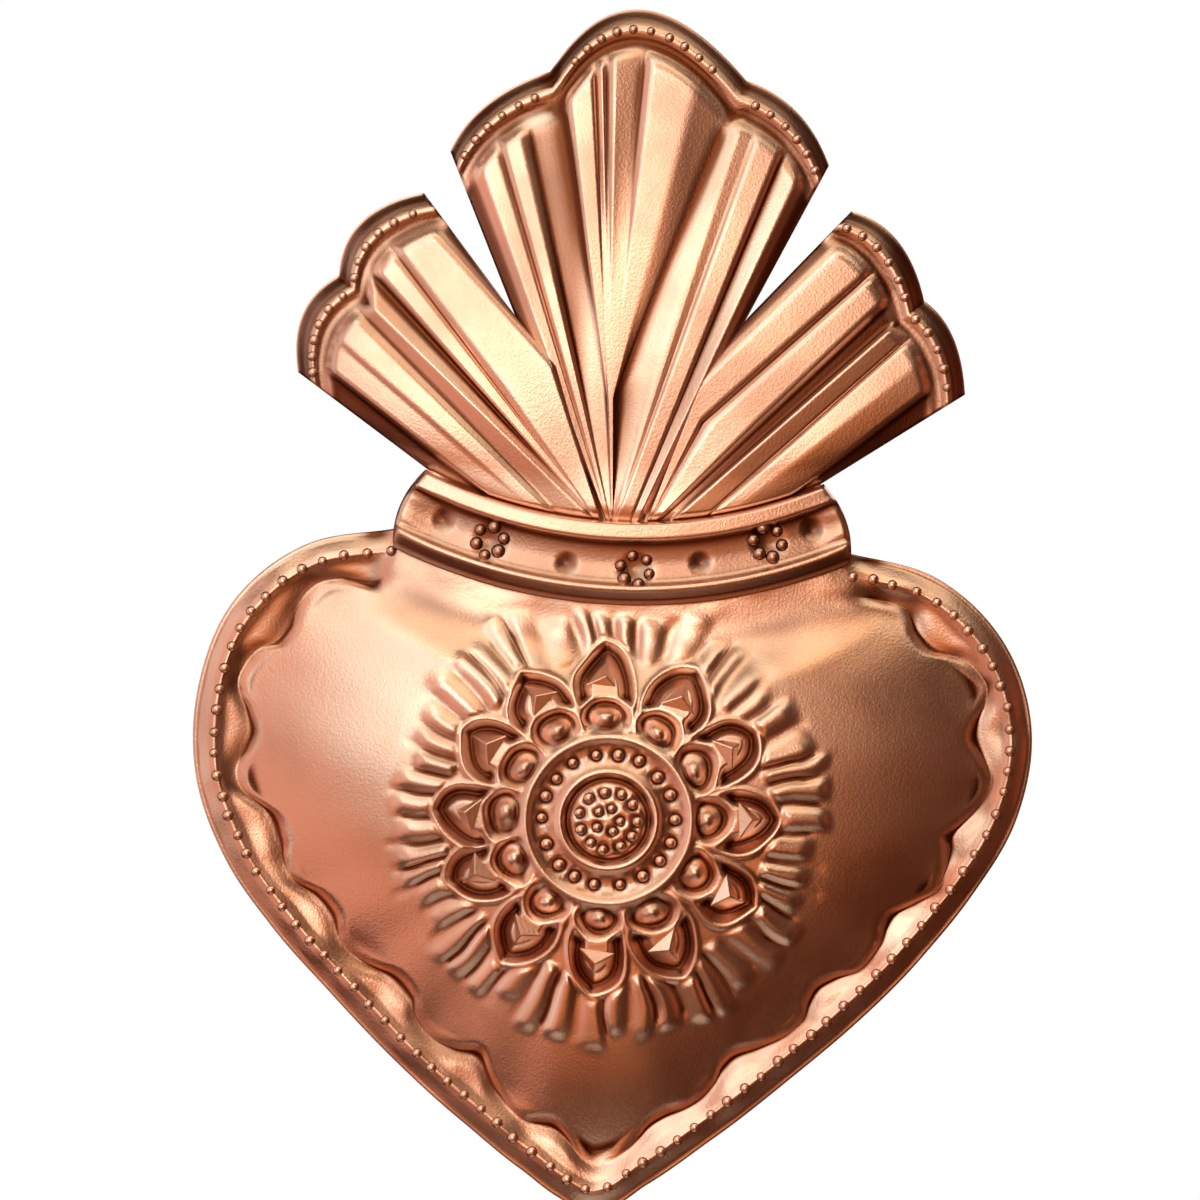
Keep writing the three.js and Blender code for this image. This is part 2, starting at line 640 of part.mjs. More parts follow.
// Solder tack beside the strap, on the back of the fan's tab
function solderTack(side) {
  const near = side * (STRAP_WIDTH / 2 + SEAT);
  const far = near + side * TACK_WIDTH;
  const top = tabFront - SHEET - SEAT;
  const shape = new THREE.Shape();
  shape.moveTo(near, top);
  shape.lineTo(near, legBack);
  shape.quadraticCurveTo(near, top, far, top);
  const options = { depth: TACK_LENGTH, bevelEnabled: false, curveSegments: TACK_CURVE_STEPS };
  const geometry = new THREE.ExtrudeGeometry(shape, options);
  const basis = new THREE.Matrix4().makeBasis(
    new THREE.Vector3(1, 0, 0), new THREE.Vector3(0, -1, 0), new THREE.Vector3(0, 0, -1),
  );
  return geometry.applyMatrix4(basis);
}

// Strap: a strip folded round the ring wire, its two plies flat together below
function hangerStrap() {
  const shape = new THREE.Shape();
  shape.moveTo(legBack, -STRAP_LEG);
  shape.lineTo(legFront, -STRAP_LEG);
  shape.lineTo(legFront, 0);
  shape.absarc(eyeHeight, 0, eyeOuter, 0, 2 * Math.PI - Math.acos((legBack - eyeHeight) / eyeOuter), false);
  shape.closePath();
  shape.holes.push(new THREE.Path().absarc(eyeHeight, 0, eyeBore, 0, 2 * Math.PI, true));
  const options = { depth: STRAP_WIDTH, bevelEnabled: false, curveSegments: ARC_STEPS };
  const geometry = new THREE.ExtrudeGeometry(shape, options);
  const basis = new THREE.Matrix4().makeBasis(
    new THREE.Vector3(0, -1, 0), new THREE.Vector3(0, 0, 1), new THREE.Vector3(-1, 0, 0),
  );
  return geometry.applyMatrix4(basis).translate(STRAP_WIDTH / 2, 0, 0);
}

function hangingRing() {
  const geometry = new THREE.TorusGeometry(ringMeanRadius, RING_WIRE_RADIUS, WIRE_SIDES, RING_STEPS);
  return geometry.rotateX(Math.PI / 2).translate(0, 0, ringMeanRadius);
}

// Finishes
const COPPER_FINISH = { color: 0xc8865c, roughness: 0.34, metalness: 1 };
const WIRE_FINISH = { color: 0xb0724c, roughness: 0.3, metalness: 1 };
const SOLDER_FINISH = { color: 0x9a9690, roughness: 0.5, metalness: 1 };

const heart = new THREE.Group();

function place(name, geometry, finish, z = 0, height = 0) {
  const mesh = new THREE.Mesh(geometry, new THREE.MeshStandardMaterial(finish));
  mesh.name = name;
  mesh.position.set(0, -height, z);
  heart.add(mesh);
  return mesh;
}

place('heart_sheet', heartSheet(), COPPER_FINISH);
place('collar_band', collarBand(), COPPER_FINISH);
place('flame_fan', flameFan(), COPPER_FINISH);
place('hanger_strap', hangerStrap(), COPPER_FINISH, eyeZ);
place('hanging_ring', hangingRing(), WIRE_FINISH, eyeZ, eyeHeight).rotation.x = RING_LEAN;
const heartSeam = heartTabEdge + SEAT;
const fanSeam = fanTabEdge - SEAT;
place('solder_seam_heart', solderSeam(heartSeam, heartSeam + SOLDER_WIDTH), SOLDER_FINISH);
place('solder_seam_fan', solderSeam(fanSeam, fanSeam - SOLDER_WIDTH), SOLDER_FINISH);
const tackTop = arcPoint(0, bandTop)[1];
place('solder_tack_left', solderTack(-1), SOLDER_FINISH, tackTop);
place('solder_tack_right', solderTack(1), SOLDER_FINISH, tackTop);

export default heart;
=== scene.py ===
"""Milagro heart: embossed copper heart, collar band, flame fan and hanging ring, sizes in millimetres."""
import logging
import math
import random
from dataclasses import dataclass, field
from enum import Enum
from typing import Callable, Optional, Sequence

import bmesh
import bpy
from mathutils import Matrix, Vector, noise


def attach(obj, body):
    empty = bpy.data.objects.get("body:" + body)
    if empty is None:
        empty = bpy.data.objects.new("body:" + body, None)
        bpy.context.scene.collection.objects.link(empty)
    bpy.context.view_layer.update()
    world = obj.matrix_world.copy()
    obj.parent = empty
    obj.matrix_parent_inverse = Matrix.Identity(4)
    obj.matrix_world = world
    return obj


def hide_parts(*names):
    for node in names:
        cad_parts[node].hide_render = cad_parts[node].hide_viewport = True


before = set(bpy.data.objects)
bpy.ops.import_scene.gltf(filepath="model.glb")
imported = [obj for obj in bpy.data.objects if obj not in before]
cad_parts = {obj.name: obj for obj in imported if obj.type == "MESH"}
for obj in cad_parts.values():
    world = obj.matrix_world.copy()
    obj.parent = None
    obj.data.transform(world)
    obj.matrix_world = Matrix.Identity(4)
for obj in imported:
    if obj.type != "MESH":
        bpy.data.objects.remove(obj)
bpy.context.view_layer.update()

MM = 0.001
PLAIN_TONE = 0.5
BEAD_SINK = 0.3
# Painted shade at each bead's foot: how fast the dark fades up the bead, and where the fade begins.
BEAD_SHADE_GAIN = 1.4
BEAD_SHADE_START = 0.25
GRID_MERGE = 0.004
LEAF_MERGE = 0.01
FINE_MERGE = 0.001
SLOPE_STEP = 0.01
ROUNDING = 1e-6
# Sockets of a Mix node that blends colours
MIX_SHARE = 0
MIX_FIRST = 6
MIX_SECOND = 7
MIX_RESULT = 2
Point = tuple[float, float]
Colour = tuple[float, float, float]
LOG = logging.getLogger("milagro_heart")


class Body(Enum):
    """The moving bodies that pieces ride on."""

    ORNAMENT = "ornament"
    RING = "ring"


class Slot(Enum):
    """The material slots that pieces stand for."""

    SHEET = "copper_sheet"
    WIRE = "copper_wire"
    SOLDER = "soft_solder"


def mix(low: float, high: float, share: float) -> float:
    """Return the value that lies the given share of the way from low to high."""
    return low + (high - low) * share


def clamp(value: float) -> float:
    """Return the value held between nought and one."""
    return min(1.0, max(0.0, value))


def ease(value: float) -> float:
    """Return an S-shaped ramp that runs from nought to one."""
    held = clamp(value)
    return held * held * (3.0 - 2.0 * held)


def hump(offset: float, width: float) -> float:
    """Return a rounded ridge, one high in the middle and nought beyond the width."""
    share = offset / width
    return (1.0 - share * share) ** 2 if abs(share) < 1.0 else 0.0


def turn_gap(first: float, second: float) -> float:
    """Return the signed angle in radians from the second direction to the first."""
    return math.remainder(first - second, math.tau)


def curve_at(knots: Sequence[Point], turn: float) -> float:
    """Read a smooth closed curve.

    Args:
        knots: The turns in degrees, in order, and the curve's values there.
        turn: The turn to read it at, in degrees.

    Returns:
        The value at the turn.
    """
    turn %= 360.0
    count = len(knots)
    spot = max((k for k in range(count) if knots[k][0] <= turn), default=count - 1)
    lap = 360.0 if knots[0][0] > turn else 0.0
    near = []
    for step in (-1, 0, 1, 2):
        laps, slot = divmod(spot + step, count)
        near.append((knots[slot][0] + 360.0 * laps - lap, knots[slot][1]))
    (turn_0, value_0), (turn_1, value_1), (turn_2, value_2), (turn_3, value_3) = near
    span = turn_2 - turn_1
    run = (turn - turn_1) / span
    slope_1 = (value_2 - value_0) / (turn_2 - turn_0) * span
    slope_2 = (value_3 - value_1) / (turn_3 - turn_1) * span
    return ((2 * run ** 3 - 3 * run ** 2 + 1) * value_1 + (run ** 3 - 2 * run ** 2 + run) * slope_1
            + (3 * run ** 2 - 2 * run ** 3) * value_2 + (run ** 3 - run ** 2) * slope_2)


class NodeBoard:
    """A material's node tree, with short ways to add nodes and links."""

    def __init__(self, name: str) -> None:
        """Start an empty node material.

        Args:
            name: The name of the material.
        """
        self.material = bpy.data.materials.new(name)
        self.material.use_nodes = True
        self.tree = self.material.node_tree
        self.shader = self.tree.nodes["Principled BSDF"]

    def add(self, kind: str, **values: object) -> bpy.types.Node:
        """Add a node and set its properties.

        Args:
            kind: The node's type name.
            **values: Property values, or socket values for names that are sockets.

        Returns:
            The new node.
        """
        node = self.tree.nodes.new(kind)
        for key, value in values.items():
            if hasattr(node, key):
                setattr(node, key, value)
            else:
                node.inputs[key.replace("_", " ")].default_value = value
        return node

    def link(self, source: bpy.types.NodeSocket, target: bpy.types.NodeSocket) -> None:
        """Join an output socket to an input socket."""
        self.tree.links.new(source, target)

    def blend(self, share: bpy.types.NodeSocket, first: object, second: object) -> bpy.types.NodeSocket:
        """Blend two colours.

        Args:
            share: The socket that drives the blend.
            first: A colour, or a colour socket.
            second: A colour, or a colour socket.

        Returns:
            The blended colour's socket.
        """
        node = self.add("ShaderNodeMix", data_type="RGBA")
        self.link(share, node.inputs[MIX_SHARE])
        for slot, colour in ((MIX_FIRST, first), (MIX_SECOND, second)):
            if isinstance(colour, bpy.types.NodeSocket):
                self.link(colour, node.inputs[slot])
            else:
                node.inputs[slot].default_value = (*colour, 1.0)
        return node.outputs[MIX_RESULT]

    def ramp(self, source: bpy.types.NodeSocket, low: float, high: float,
             first: float = 0.0, last: float = 1.0) -> bpy.types.NodeSocket:
        """Map a span of values to another.

        Args:
            source: The value to map.
            low: The value that maps to first.
            high: The value that maps to last.
            first: The lower result.
            last: The upper result.

        Returns:
            The mapped value's socket.
        """
        node = self.add("ShaderNodeMapRange", interpolation_type="SMOOTHSTEP")
        self.link(source, node.inputs["Value"])
        node.inputs["From Min"].default_value = low
        node.inputs["From Max"].default_value = high
        node.inputs["To Min"].default_value = first
        node.inputs["To Max"].default_value = last
        return node.outputs["Result"]


@dataclass(frozen=True)
class CopperFinish:
    """Satin copper: toned dark in the hollows and worn pale on the ridges; its tone also carries the painted
    shade and painted highlights that pieces set.
    """

    name: str
    fresh: Colour = (0.88, 0.55, 0.41)
    worn: Colour = (0.95, 0.66, 0.52)
    worn_tones: Point = (0.55, 0.95)
    worn_share: float = 0.85
    toned: Colour = (0.16, 0.048, 0.02)
    toned_tones: Point = (0.08, 0.46)
    roughness: float = 0.29
    roughness_spread: float = 0.09
    roughness_clouds: Point = (0.3, 0.7)
    grain_mm: float = 0.32
    grain_detail: float = 2.0
    grain_depth_mm: float = 0.05
    grain_strength: float = 0.6
    cloud_mm: float = 14.0
    cloud_detail: float = 3.0
    cloud_span: Point = (0.42, 0.75)
    cloud_share: float = 0.22

    def material(self) -> bpy.types.Material:
        """Build the material.

        Returns:
            The copper material.
        """
        board = NodeBoard(self.name)
        place = board.add("ShaderNodeTexCoord").outputs["Object"]
        tone = board.add("ShaderNodeAttribute", attribute_name="tone").outputs["Fac"]
        cloud = board.add("ShaderNodeTexNoise", Scale=1.0 / (self.cloud_mm * MM), Detail=self.cloud_detail)
        board.link(place, cloud.inputs["Vector"])
        clouds = cloud.outputs["Fac"]
        grain = board.add("ShaderNodeTexNoise", Scale=1.0 / (self.grain_mm * MM), Detail=self.grain_detail)
        board.link(place, grain.inputs["Vector"])
        colour = board.blend(board.ramp(tone, *self.toned_tones), self.toned, self.fresh)
        colour = board.blend(board.ramp(tone, *self.worn_tones, 0.0, self.worn_share), colour, self.worn)
        colour = board.blend(board.ramp(clouds, *self.cloud_span, 0.0, self.cloud_share), colour, self.toned)
        board.link(colour, board.shader.inputs["Base Color"])
        board.shader.inputs["Metallic"].default_value = 1.0
        rough = board.ramp(clouds, *self.roughness_clouds, self.roughness,
                           self.roughness + self.roughness_spread)
        board.link(rough, board.shader.inputs["Roughness"])
        bump = board.add("ShaderNodeBump", Strength=self.grain_strength, Distance=self.grain_depth_mm * MM)
        board.link(grain.outputs["Fac"], bump.inputs["Height"])
        board.link(bump.outputs["Normal"], board.shader.inputs["Normal"])
        return board.material


@dataclass(frozen=True)
class SolderFinish:
    """Dull grey soft solder with slight grey clouds."""

    name: str
    bright: Colour = (0.46, 0.45, 0.43)
    dull: Colour = (0.25, 0.24, 0.23)
    roughness: float = 0.45
    cloud_mm: float = 1.5
    cloud_detail: float = 3.0
    cloud_span: Point = (0.35, 0.65)

    def material(self) -> bpy.types.Material:
        """Build the material.

        Returns:
            The solder material.
        """
        board = NodeBoard(self.name)
        place = board.add("ShaderNodeTexCoord").outputs["Object"]
        cloud = board.add("ShaderNodeTexNoise", Scale=1.0 / (self.cloud_mm * MM), Detail=self.cloud_detail)
        board.link(place, cloud.inputs["Vector"])
        share = board.ramp(cloud.outputs["Fac"], *self.cloud_span)
        board.link(board.blend(share, self.dull, self.bright), board.shader.inputs["Base Color"])
        board.shader.inputs["Metallic"].default_value = 1.0
        board.shader.inputs["Roughness"].default_value = self.roughness
        return board.material


@dataclass(frozen=True)
class PaperFinish:
    """Plain pale matt paper for the floor."""

    name: str
    colour: Colour = (0.80, 0.79, 0.77)
    roughness: float = 0.9

    def material(self) -> bpy.types.Material:
        """Build the material.

        Returns:
            The paper material.
        """
        board = NodeBoard(self.name)
        board.shader.inputs["Base Color"].default_value = (*self.colour, 1.0)
        board.shader.inputs["Roughness"].default_value = self.roughness
        return board.material


def relief_grid(columns: int, rows: int, place: Callable[[float, float], Vector],
                keep: Optional[Callable[[float, float], float]] = None) -> bmesh.types.BMesh:
    """Make a sheet from a flat grid by moving each corner to its place.

    Args:
        columns: The number of cells along the first share.
        rows: The number of cells along the second share.
        place: Gives the corner in millimetres at the two shares, which run from nought to one.
        keep: Gives the share of its tone that the metal keeps there, which is all of it where none is given;
            pieces paint shade and light through it.

    Returns:
        The sheet, closed where corners meet, in millimetres and facing -Y.
    """
    bm = bmesh.new()
    bmesh.ops.create_grid(bm, x_segments=columns, y_segments=rows, size=1.0)
    layer = bm.verts.layers.float.new("keep")
    for vert in bm.verts:
        across, up = (vert.co.x + 1.0) / 2.0, (vert.co.y + 1.0) / 2.0
        vert[layer] = keep(across, up) if keep else 1.0
        vert.co = place(across, up)
    bmesh.ops.remove_doubles(bm, verts=bm.verts[:], dist=GRID_MERGE)
    face_front(bm)
    return bm


def face_front(bm: bmesh.types.BMesh) -> None:
    """Turn an open sheet's faces towards -Y.

    Args:
        bm: The sheet.
    """
    bmesh.ops.recalc_face_normals(bm, faces=bm.faces[:])
    bm.normal_update()
    if sum(face.normal.y * face.calc_area() for face in bm.faces) > 0.0:
        bmesh.ops.reverse_faces(bm, faces=bm.faces[:])
    bm.normal_update()


def shade_tone(bm: bmesh.types.BMesh, gain: float = 2.4, passes: int = 14) -> None:
    """Store how far each corner stands in a hollow or on a ridge, for the metal's tone.

    Args:
        bm: The sheet in millimetres.
        gain: How strongly a millimetre of depth counts, which is below nought on a back.
        passes: The number of smoothing passes that even the sheet out.
    """
    even = bm.copy()
    for _ in range(passes):
        bmesh.ops.smooth_vert(even, verts=even.verts[:], factor=0.5, use_axis_x=True, use_axis_y=True,
                              use_axis_z=True)
    layer = bm.verts.layers.float.new("tone")
    kept = bm.verts.layers.float.get("keep")
    for vert, level in zip(bm.verts, even.verts):
        # The kept share adds the pieces' painted shade and painted light to the tone of hollows and ridges.
        vert[layer] = vert[kept] * clamp(PLAIN_TONE - gain * (level.co - vert.co).dot(vert.normal))
    even.free()


def thicken(bm: bmesh.types.BMesh, depth: float) -> None:
    """Give an open sheet its thickness by extruding it straight back.

    Args:
        bm: The sheet.
        depth: The thickness along +Y.
    """
    grown = bmesh.ops.extrude_face_region(bm, geom=bm.faces[:], use_keep_orig=True)
    moved = [item for item in grown["geom"] if isinstance(item, bmesh.types.BMVert)]
    bmesh.ops.translate(bm, verts=moved, vec=(0.0, depth, 0.0))
    bmesh.ops.recalc_face_normals(bm, faces=bm.faces[:])


def take_mesh(bm: bmesh.types.BMesh, other: bmesh.types.BMesh) -> None:
    """Add another mesh to a mesh.

    Args:
        bm: The mesh that takes the other one.
        other: The other mesh, which is freed.
    """
    mesh = bpy.data.meshes.new("taken")
    other.to_mesh(mesh)
    other.free()
    bm.from_mesh(mesh)
    bpy.data.meshes.remove(mesh)


def join_back(bm: bmesh.types.BMesh, back: bmesh.types.BMesh) -> None:
    """Close an open front sheet with a coarser back sheet.

    Args:
        bm: The front sheet, which takes the back.
        back: The back sheet, which is freed.
    """
    take_mesh(bm, back)
    bmesh.ops.bridge_loops(bm, edges=[edge for edge in bm.edges if edge.is_boundary])
    bmesh.ops.recalc_face_normals(bm, faces=bm.faces[:])


def add_bead(bm: bmesh.types.BMesh, place: Vector, radius: float, flatten: float = 0.8,
             segments: int = 10, rings: int = 7, tone: float = 0.8) -> None:
    """Add a punched bead whose foot is painted dark, a painted shade where it meets the sheet.

    Args:
        bm: The mesh that takes the bead.
        place: The bead's centre in millimetres.
        radius: The bead's radius.
        flatten: The bead's depth as a share of its width.
        segments: The number of faces round the bead.
        rings: The number of faces from pole to pole.
        tone: The tone at the bead's head.
    """
    layer = bm.verts.layers.float.get("tone") or bm.verts.layers.float.new("tone")
    spin = Matrix.Rotation(math.pi / 2.0, 4, "X")
    squash = Matrix.Diagonal((1.0, flatten, 1.0, 1.0))
    made = bmesh.ops.create_uvsphere(bm, u_segments=segments, v_segments=rings, radius=radius,
                                     matrix=Matrix.Translation(place) @ squash @ spin)
    for vert in made["verts"]:
        rise = (place.y - vert.co.y) / (radius * flatten)
        # Painted shade: dark at the bead's foot, rising to the head's tone.
        vert[layer] = mix(0.0, tone, ease(rise * BEAD_SHADE_GAIN - BEAD_SHADE_START))
        vert.co.y = min(vert.co.y, place.y + BEAD_SINK)


def add_piece(name: str, bm: bmesh.types.BMesh, material: bpy.types.Material, body: Body, slot: Slot,
              nodes: Sequence[str] = (), smooth: bool = True) -> bpy.types.Object:
    """Turn a mesh in millimetres into a finished piece at the origin.

    Args:
        name: The piece's name.
        bm: The mesh, which is freed.
        material: The piece's material.
        body: The body that it rides on.
        slot: The material slot that it stands for; not used.
        nodes: The nodes that it replaces.
        smooth: Whether its faces are shaded smooth.

    Returns:
        The new object.
    """
    bmesh.ops.scale(bm, verts=bm.verts[:], vec=(MM, MM, MM))
    for face in bm.faces:
        face.smooth = smooth
    mesh = bpy.data.meshes.new(name)
    bm.to_mesh(mesh)
    bm.free()
    mesh.materials.append(material)
    piece = bpy.data.objects.new(name, mesh)
    bpy.context.scene.collection.objects.link(piece)
    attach(piece, body.value)
    if nodes:
        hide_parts(*nodes)
    LOG.info("%s: %d faces", name, len(mesh.polygons))
    return piece


@dataclass
class CollarArc:
    """The smile-shaped line that the collar, the heart's tab and the fan's tab share."""

    mid_x: float = 1.2
    mid_z: float = -16.8
    radius: float = 62.8
    tilt: float = math.radians(-2.1)
    half_length: float = 26.8
    bow: float = 2.4
    tab_front: float = 4.6
    top: float = 4.4
    foot: float = -6.1
    tab_half_gap: float = 1.4

    def __post_init__(self) -> None:
        """Work out the centre of the arc."""
        self.centre_x = self.mid_x - self.radius * math.sin(self.tilt)
        self.centre_z = self.mid_z + self.radius * math.cos(self.tilt)

    def point(self, along: float, up: float) -> Point:
        """Give the place at a length along the arc and a height across it.

        Args:
            along: The length from the middle, positive to the right.
            up: The height above the middle line.

        Returns:
            The x and z of the place.
        """
        angle = self.tilt + along / self.radius
        reach = self.radius - up
        return self.centre_x + reach * math.sin(angle), self.centre_z - reach * math.cos(angle)

    def locate(self, x: float, z: float) -> Point:
        """Give the length along the arc and the height across it of a place.

        Args:
            x: The place's x.
            z: The place's z.

        Returns:
            The length along and the height across.
        """
        right, down = x - self.centre_x, self.centre_z - z
        return (math.atan2(right, down) - self.tilt) * self.radius, self.radius - math.hypot(right, down)

    def level(self, along: float) -> float:
        """Return the height off the wall of the tabs' front under the collar."""
        return self.tab_front - self.bow * (along / self.half_length) ** 2


@dataclass(frozen=True)
class RadialLine:
    """A line from the rosette's centre: its edge and slant, and the border's and the dome's places on it."""

    edge: float
    slant: float
    share: float
    inset: float
    wall: float
    plain: float


@dataclass
class HeartSheet:
    """The embossed heart: beaded border, wavy line, dome and rosette."""

    arc: CollarArc
    centre: Point = (-0.5, -49.5)
    sheet: float = 0.5
    columns: int = 480
    cells: Sequence[int] = (46, 30, 18, 12, 8, 16, 9, 2)
    wall_mark: int = 4
    petal_lead: float = 0.6
    petal_trail: float = 0.4
    ray_trail: float = 0.6
    least_stretch: float = 0.1
    back_step: int = 2
    back_gain: float = -1.0
    dent_rise: float = 0.05
    dent_pitch: float = 0.12
    dent_layer: float = 3.0
    dent_fade: float = 3.0
    wave_rise: float = 0.3
    wave_size: float = 4.5
    wave_start: float = 1.5
    wave_end: float = 6.0
    wave_fade: float = 4.0
    dome_height: float = 10.0
    dome_power: float = 2.4
    wall_run: float = 1.7
    wall_rise: float = 1.4
    wall_lean: float = 0.5
    soften_deg: int = 14
    crown_run: float = 11.0
    crown_end_run: float = 7.0
    crown_flat: float = 2.0
    crown_fade: float = 4.0
    crown_lap: float = 1.0
    crown_reach: float = 30.0
    flower_fade: float = 2.5
    margin: float = 0.6
    margin_rise: float = 0.06
    crest: float = 2.7
    crest_height: float = 2.05
    crest_least_share: float = 0.3
    crest_round: float = 0.14
    crest_half_width: float = 0.8
    valley_height: float = 0.9
    fall_power: float = 0.6
    fall_least_power: float = 1.1
    pillow_rise: float = 0.3
    pillow_from: float = 5.2
    pillow_span: float = 1.6
    pillow_mid: float = 0.6
    pillow_half_run: float = 0.4
    border_ends_deg: Point = (48.0, 126.5)
    border_fade_deg: float = 4.0
    slant_limit: float = 1.4
    tab_least_up: float = 0.2
    bead_seed: int = 11
    bead_radius: float = 0.68
    bead_sizes: Point = (0.88, 1.1)
    bead_scatter: float = 0.12
    bead_pitch: float = 2.7
    bead_paces: Point = (0.92, 1.08)
    bead_leads_deg: Point = (2.0, 2.5)
    outline: Sequence[Point] = (
        (0, 51.1), (12, 54.1), (24, 54.1), (36, 50.9), (48, 44.6), (58, 42.4), (90, 40.5), (114, 42.6),
        (126, 44.8), (138, 51.0), (150, 54.1), (162, 53.8), (174, 51.8), (186, 48.1), (198, 44.1),
        (212, 41.0), (228, 40.3), (244, 42.0), (256, 45.2), (262, 47.6), (267, 49.2), (271, 48.5),
        (276, 46.1), (288, 42.2), (304, 39.8), (320, 40.2), (336, 42.9), (348, 46.5))
    wavy_line: Sequence[Point] = (
        (2.9, 4.6), (5.7, 4.5), (9, 5.9), (12.3, 7.1), (15, 6.5), (17, 5.2), (19.7, 4.3), (24.6, 5.8),
        (27.5, 7.5), (31, 7.2), (34.4, 5.6), (37, 5.2), (40.4, 5.1), (43.5, 5.0), (46.5, 4.3),
        (48.5, 3.1), (88, 3.1), (127.5, 3.1), (129.5, 4.2), (132.5, 5.8), (135.5, 6.9), (138, 5.9),
        (141, 5.2), (146, 6.4), (149, 7.5), (152, 7.4), (154, 6.0), (157, 5.0), (160, 4.8), (163, 6.5),
        (166, 7.4), (169, 6.7), (172.5, 5.2), (175.5, 5.4), (179, 7.6), (183.5, 7.4), (188, 6.2),
        (191, 5.8), (194.5, 6.9), (199, 7.0), (205, 5.4), (210.5, 5.7), (216.5, 7.2), (222.5, 7.0),
        (226, 5.8), (231, 5.3), (236, 6.1), (241.5, 7.6), (247, 5.9), (253, 5.1), (257, 5.9),
        (261.5, 7.0), (265, 6.2), (268, 6.0), (271, 5.5), (274, 5.0), (277, 6.0), (280.5, 5.9),
        (285, 5.1), (288.5, 5.0), (292, 5.5), (294.5, 6.3), (298, 6.5), (303, 5.5), (309, 4.5),
        (314, 4.6), (317.5, 5.8), (321, 6.4), (325, 5.8), (329, 4.5), (335, 4.9), (338.5, 5.8),
        (341.5, 6.1), (344.5, 5.0), (347.5, 3.9), (351, 4.4), (354.5, 5.4), (357.5, 6.5))

    def __post_init__(self) -> None:
        """Set out the dome's foot for each degree, a softened copy of the border's inner line."""
        sharp = [self.inner_reach(math.radians(turn)) for turn in range(360)]
        near = range(-self.soften_deg, self.soften_deg + 1)
        self.dome_foot = [sum(sharp[(turn + step) % 360] for step in near) / len(near) for turn in range(360)]

    def inner_reach(self, angle: float) -> float:
        """Return the top of the dome's steep foot as a reach at an angle in radians."""
        edge, slant = self.edge(angle)
        return edge - (self.inset_at(angle) + self.wall_run) * slant

    def inset_at(self, angle: float) -> float:
        """Return how far inside the edge the wavy line lies at an angle in radians."""
        return curve_at(self.wavy_line, math.degrees(angle))

    def edge(self, angle: float) -> Point:
        """Give the sheet's edge along a radial line.

        Args:
            angle: The line's angle in radians.

        Returns:
            The reach of the edge, and how far the outline slants there.
        """
        free = self.radius_at(angle)
        slope = (self.radius_at(angle + SLOPE_STEP) - self.radius_at(angle - SLOPE_STEP)) / (2.0 * SLOPE_STEP)
        return min(free, self.tab_radius(angle)), min(self.slant_limit, math.hypot(1.0, slope / free))

    def radius_at(self, angle: float) -> float:
        """Return the outline's reach from the rosette's centre at an angle in radians."""
        return curve_at(self.outline, math.degrees(angle))

    def tab_radius(self, angle: float) -> float:
        """Give the edge of the tab under the collar along a radial line.

        Args:
            angle: The line's angle in radians.

        Returns:
            The reach of the tab's edge, endless where the line doesn't meet it.
        """
        right, up = math.cos(angle), math.sin(angle)
        gap_x, gap_z = self.centre[0] - self.arc.centre_x, self.centre[1] - self.arc.centre_z
        reach = self.arc.radius + self.arc.tab_half_gap
        half = gap_x * right + gap_z * up
        inside = half * half - (gap_x * gap_x + gap_z * gap_z - reach * reach)
        meets = inside > 0.0 and up > self.tab_least_up and half < 0.0
        return -half - math.sqrt(inside) if meets else math.inf

    def border_share(self, angle: float) -> float:
        """Give how far the beaded border is there along a radial line.

        Args:
            angle: The line's angle in radians.

        Returns:
            The share, which is nought under the collar and one on the free edge.
        """
        turn = math.degrees(angle) % 360.0
        low, high = self.border_ends_deg
        if turn < (low + high) / 2.0:
            return ease((low - turn) / self.border_fade_deg)
        return ease((turn - high) / self.border_fade_deg) if turn < 180.0 else 1.0

    def column(self, angle: float) -> RadialLine:
        """Work out the border's places along one radial line.

        Args:
            angle: The line's angle in radians.

        Returns:
            The line, with the reach of its edge and wall and the inset of the wavy line.
        """
        edge, slant = self.edge(angle)
        share = self.border_share(angle)
        inset = self.inset_at(angle)
        turn = math.degrees(angle) % 360.0
        slot = int(turn) % 360
        plain = mix(self.dome_foot[slot], self.dome_foot[(slot + 1) % 360], turn - int(turn))
        return RadialLine(edge, slant, share, inset, edge - (inset + self.wall_run) * slant, plain)

    def border(self, depth: float, line: RadialLine) -> float:
        """Give the height of the border at a distance in from the edge.

        Args:
            depth: The distance from the edge.
            line: The radial line's places.

        Returns:
            The height off the wall.
        """
        crest = mix(self.valley_height, self.crest_height, mix(self.crest_least_share, 1.0, line.share))
        if depth < self.margin:
            return self.sheet + self.margin_rise * depth / self.margin
        soft = self.crest_round * hump(depth - self.crest, self.crest_half_width)
        if depth < self.crest:
            run = (depth - self.margin) / (self.crest - self.margin)
            return mix(self.sheet + self.margin_rise, crest, run) - soft
        if depth < line.inset:
            width = line.inset - self.crest
            run = (depth - self.crest) / width
            fall = 1.0 - (1.0 - run) ** max(self.fall_least_power, self.fall_power * width)
            wide = clamp((line.inset - self.pillow_from) / self.pillow_span)
            puff = self.pillow_rise * wide * line.share * hump(run - self.pillow_mid, self.pillow_half_run)
            return mix(crest, self.valley_height, fall) - soft + puff
        run = clamp((depth - line.inset) / self.wall_run)
        climb = self.wall_lean * run + (1.0 - self.wall_lean) * (1.0 - (1.0 - run) ** 2)
        return mix(self.valley_height, self.dome(line.wall, line), climb)

    def dome(self, reach: float, line: RadialLine) -> float:
        """Return the plain dome's height at a reach along a radial line."""
        low = self.valley_height + self.wall_rise
        return mix(low, self.dome_height, 1.0 - (reach / line.plain) ** self.dome_power)

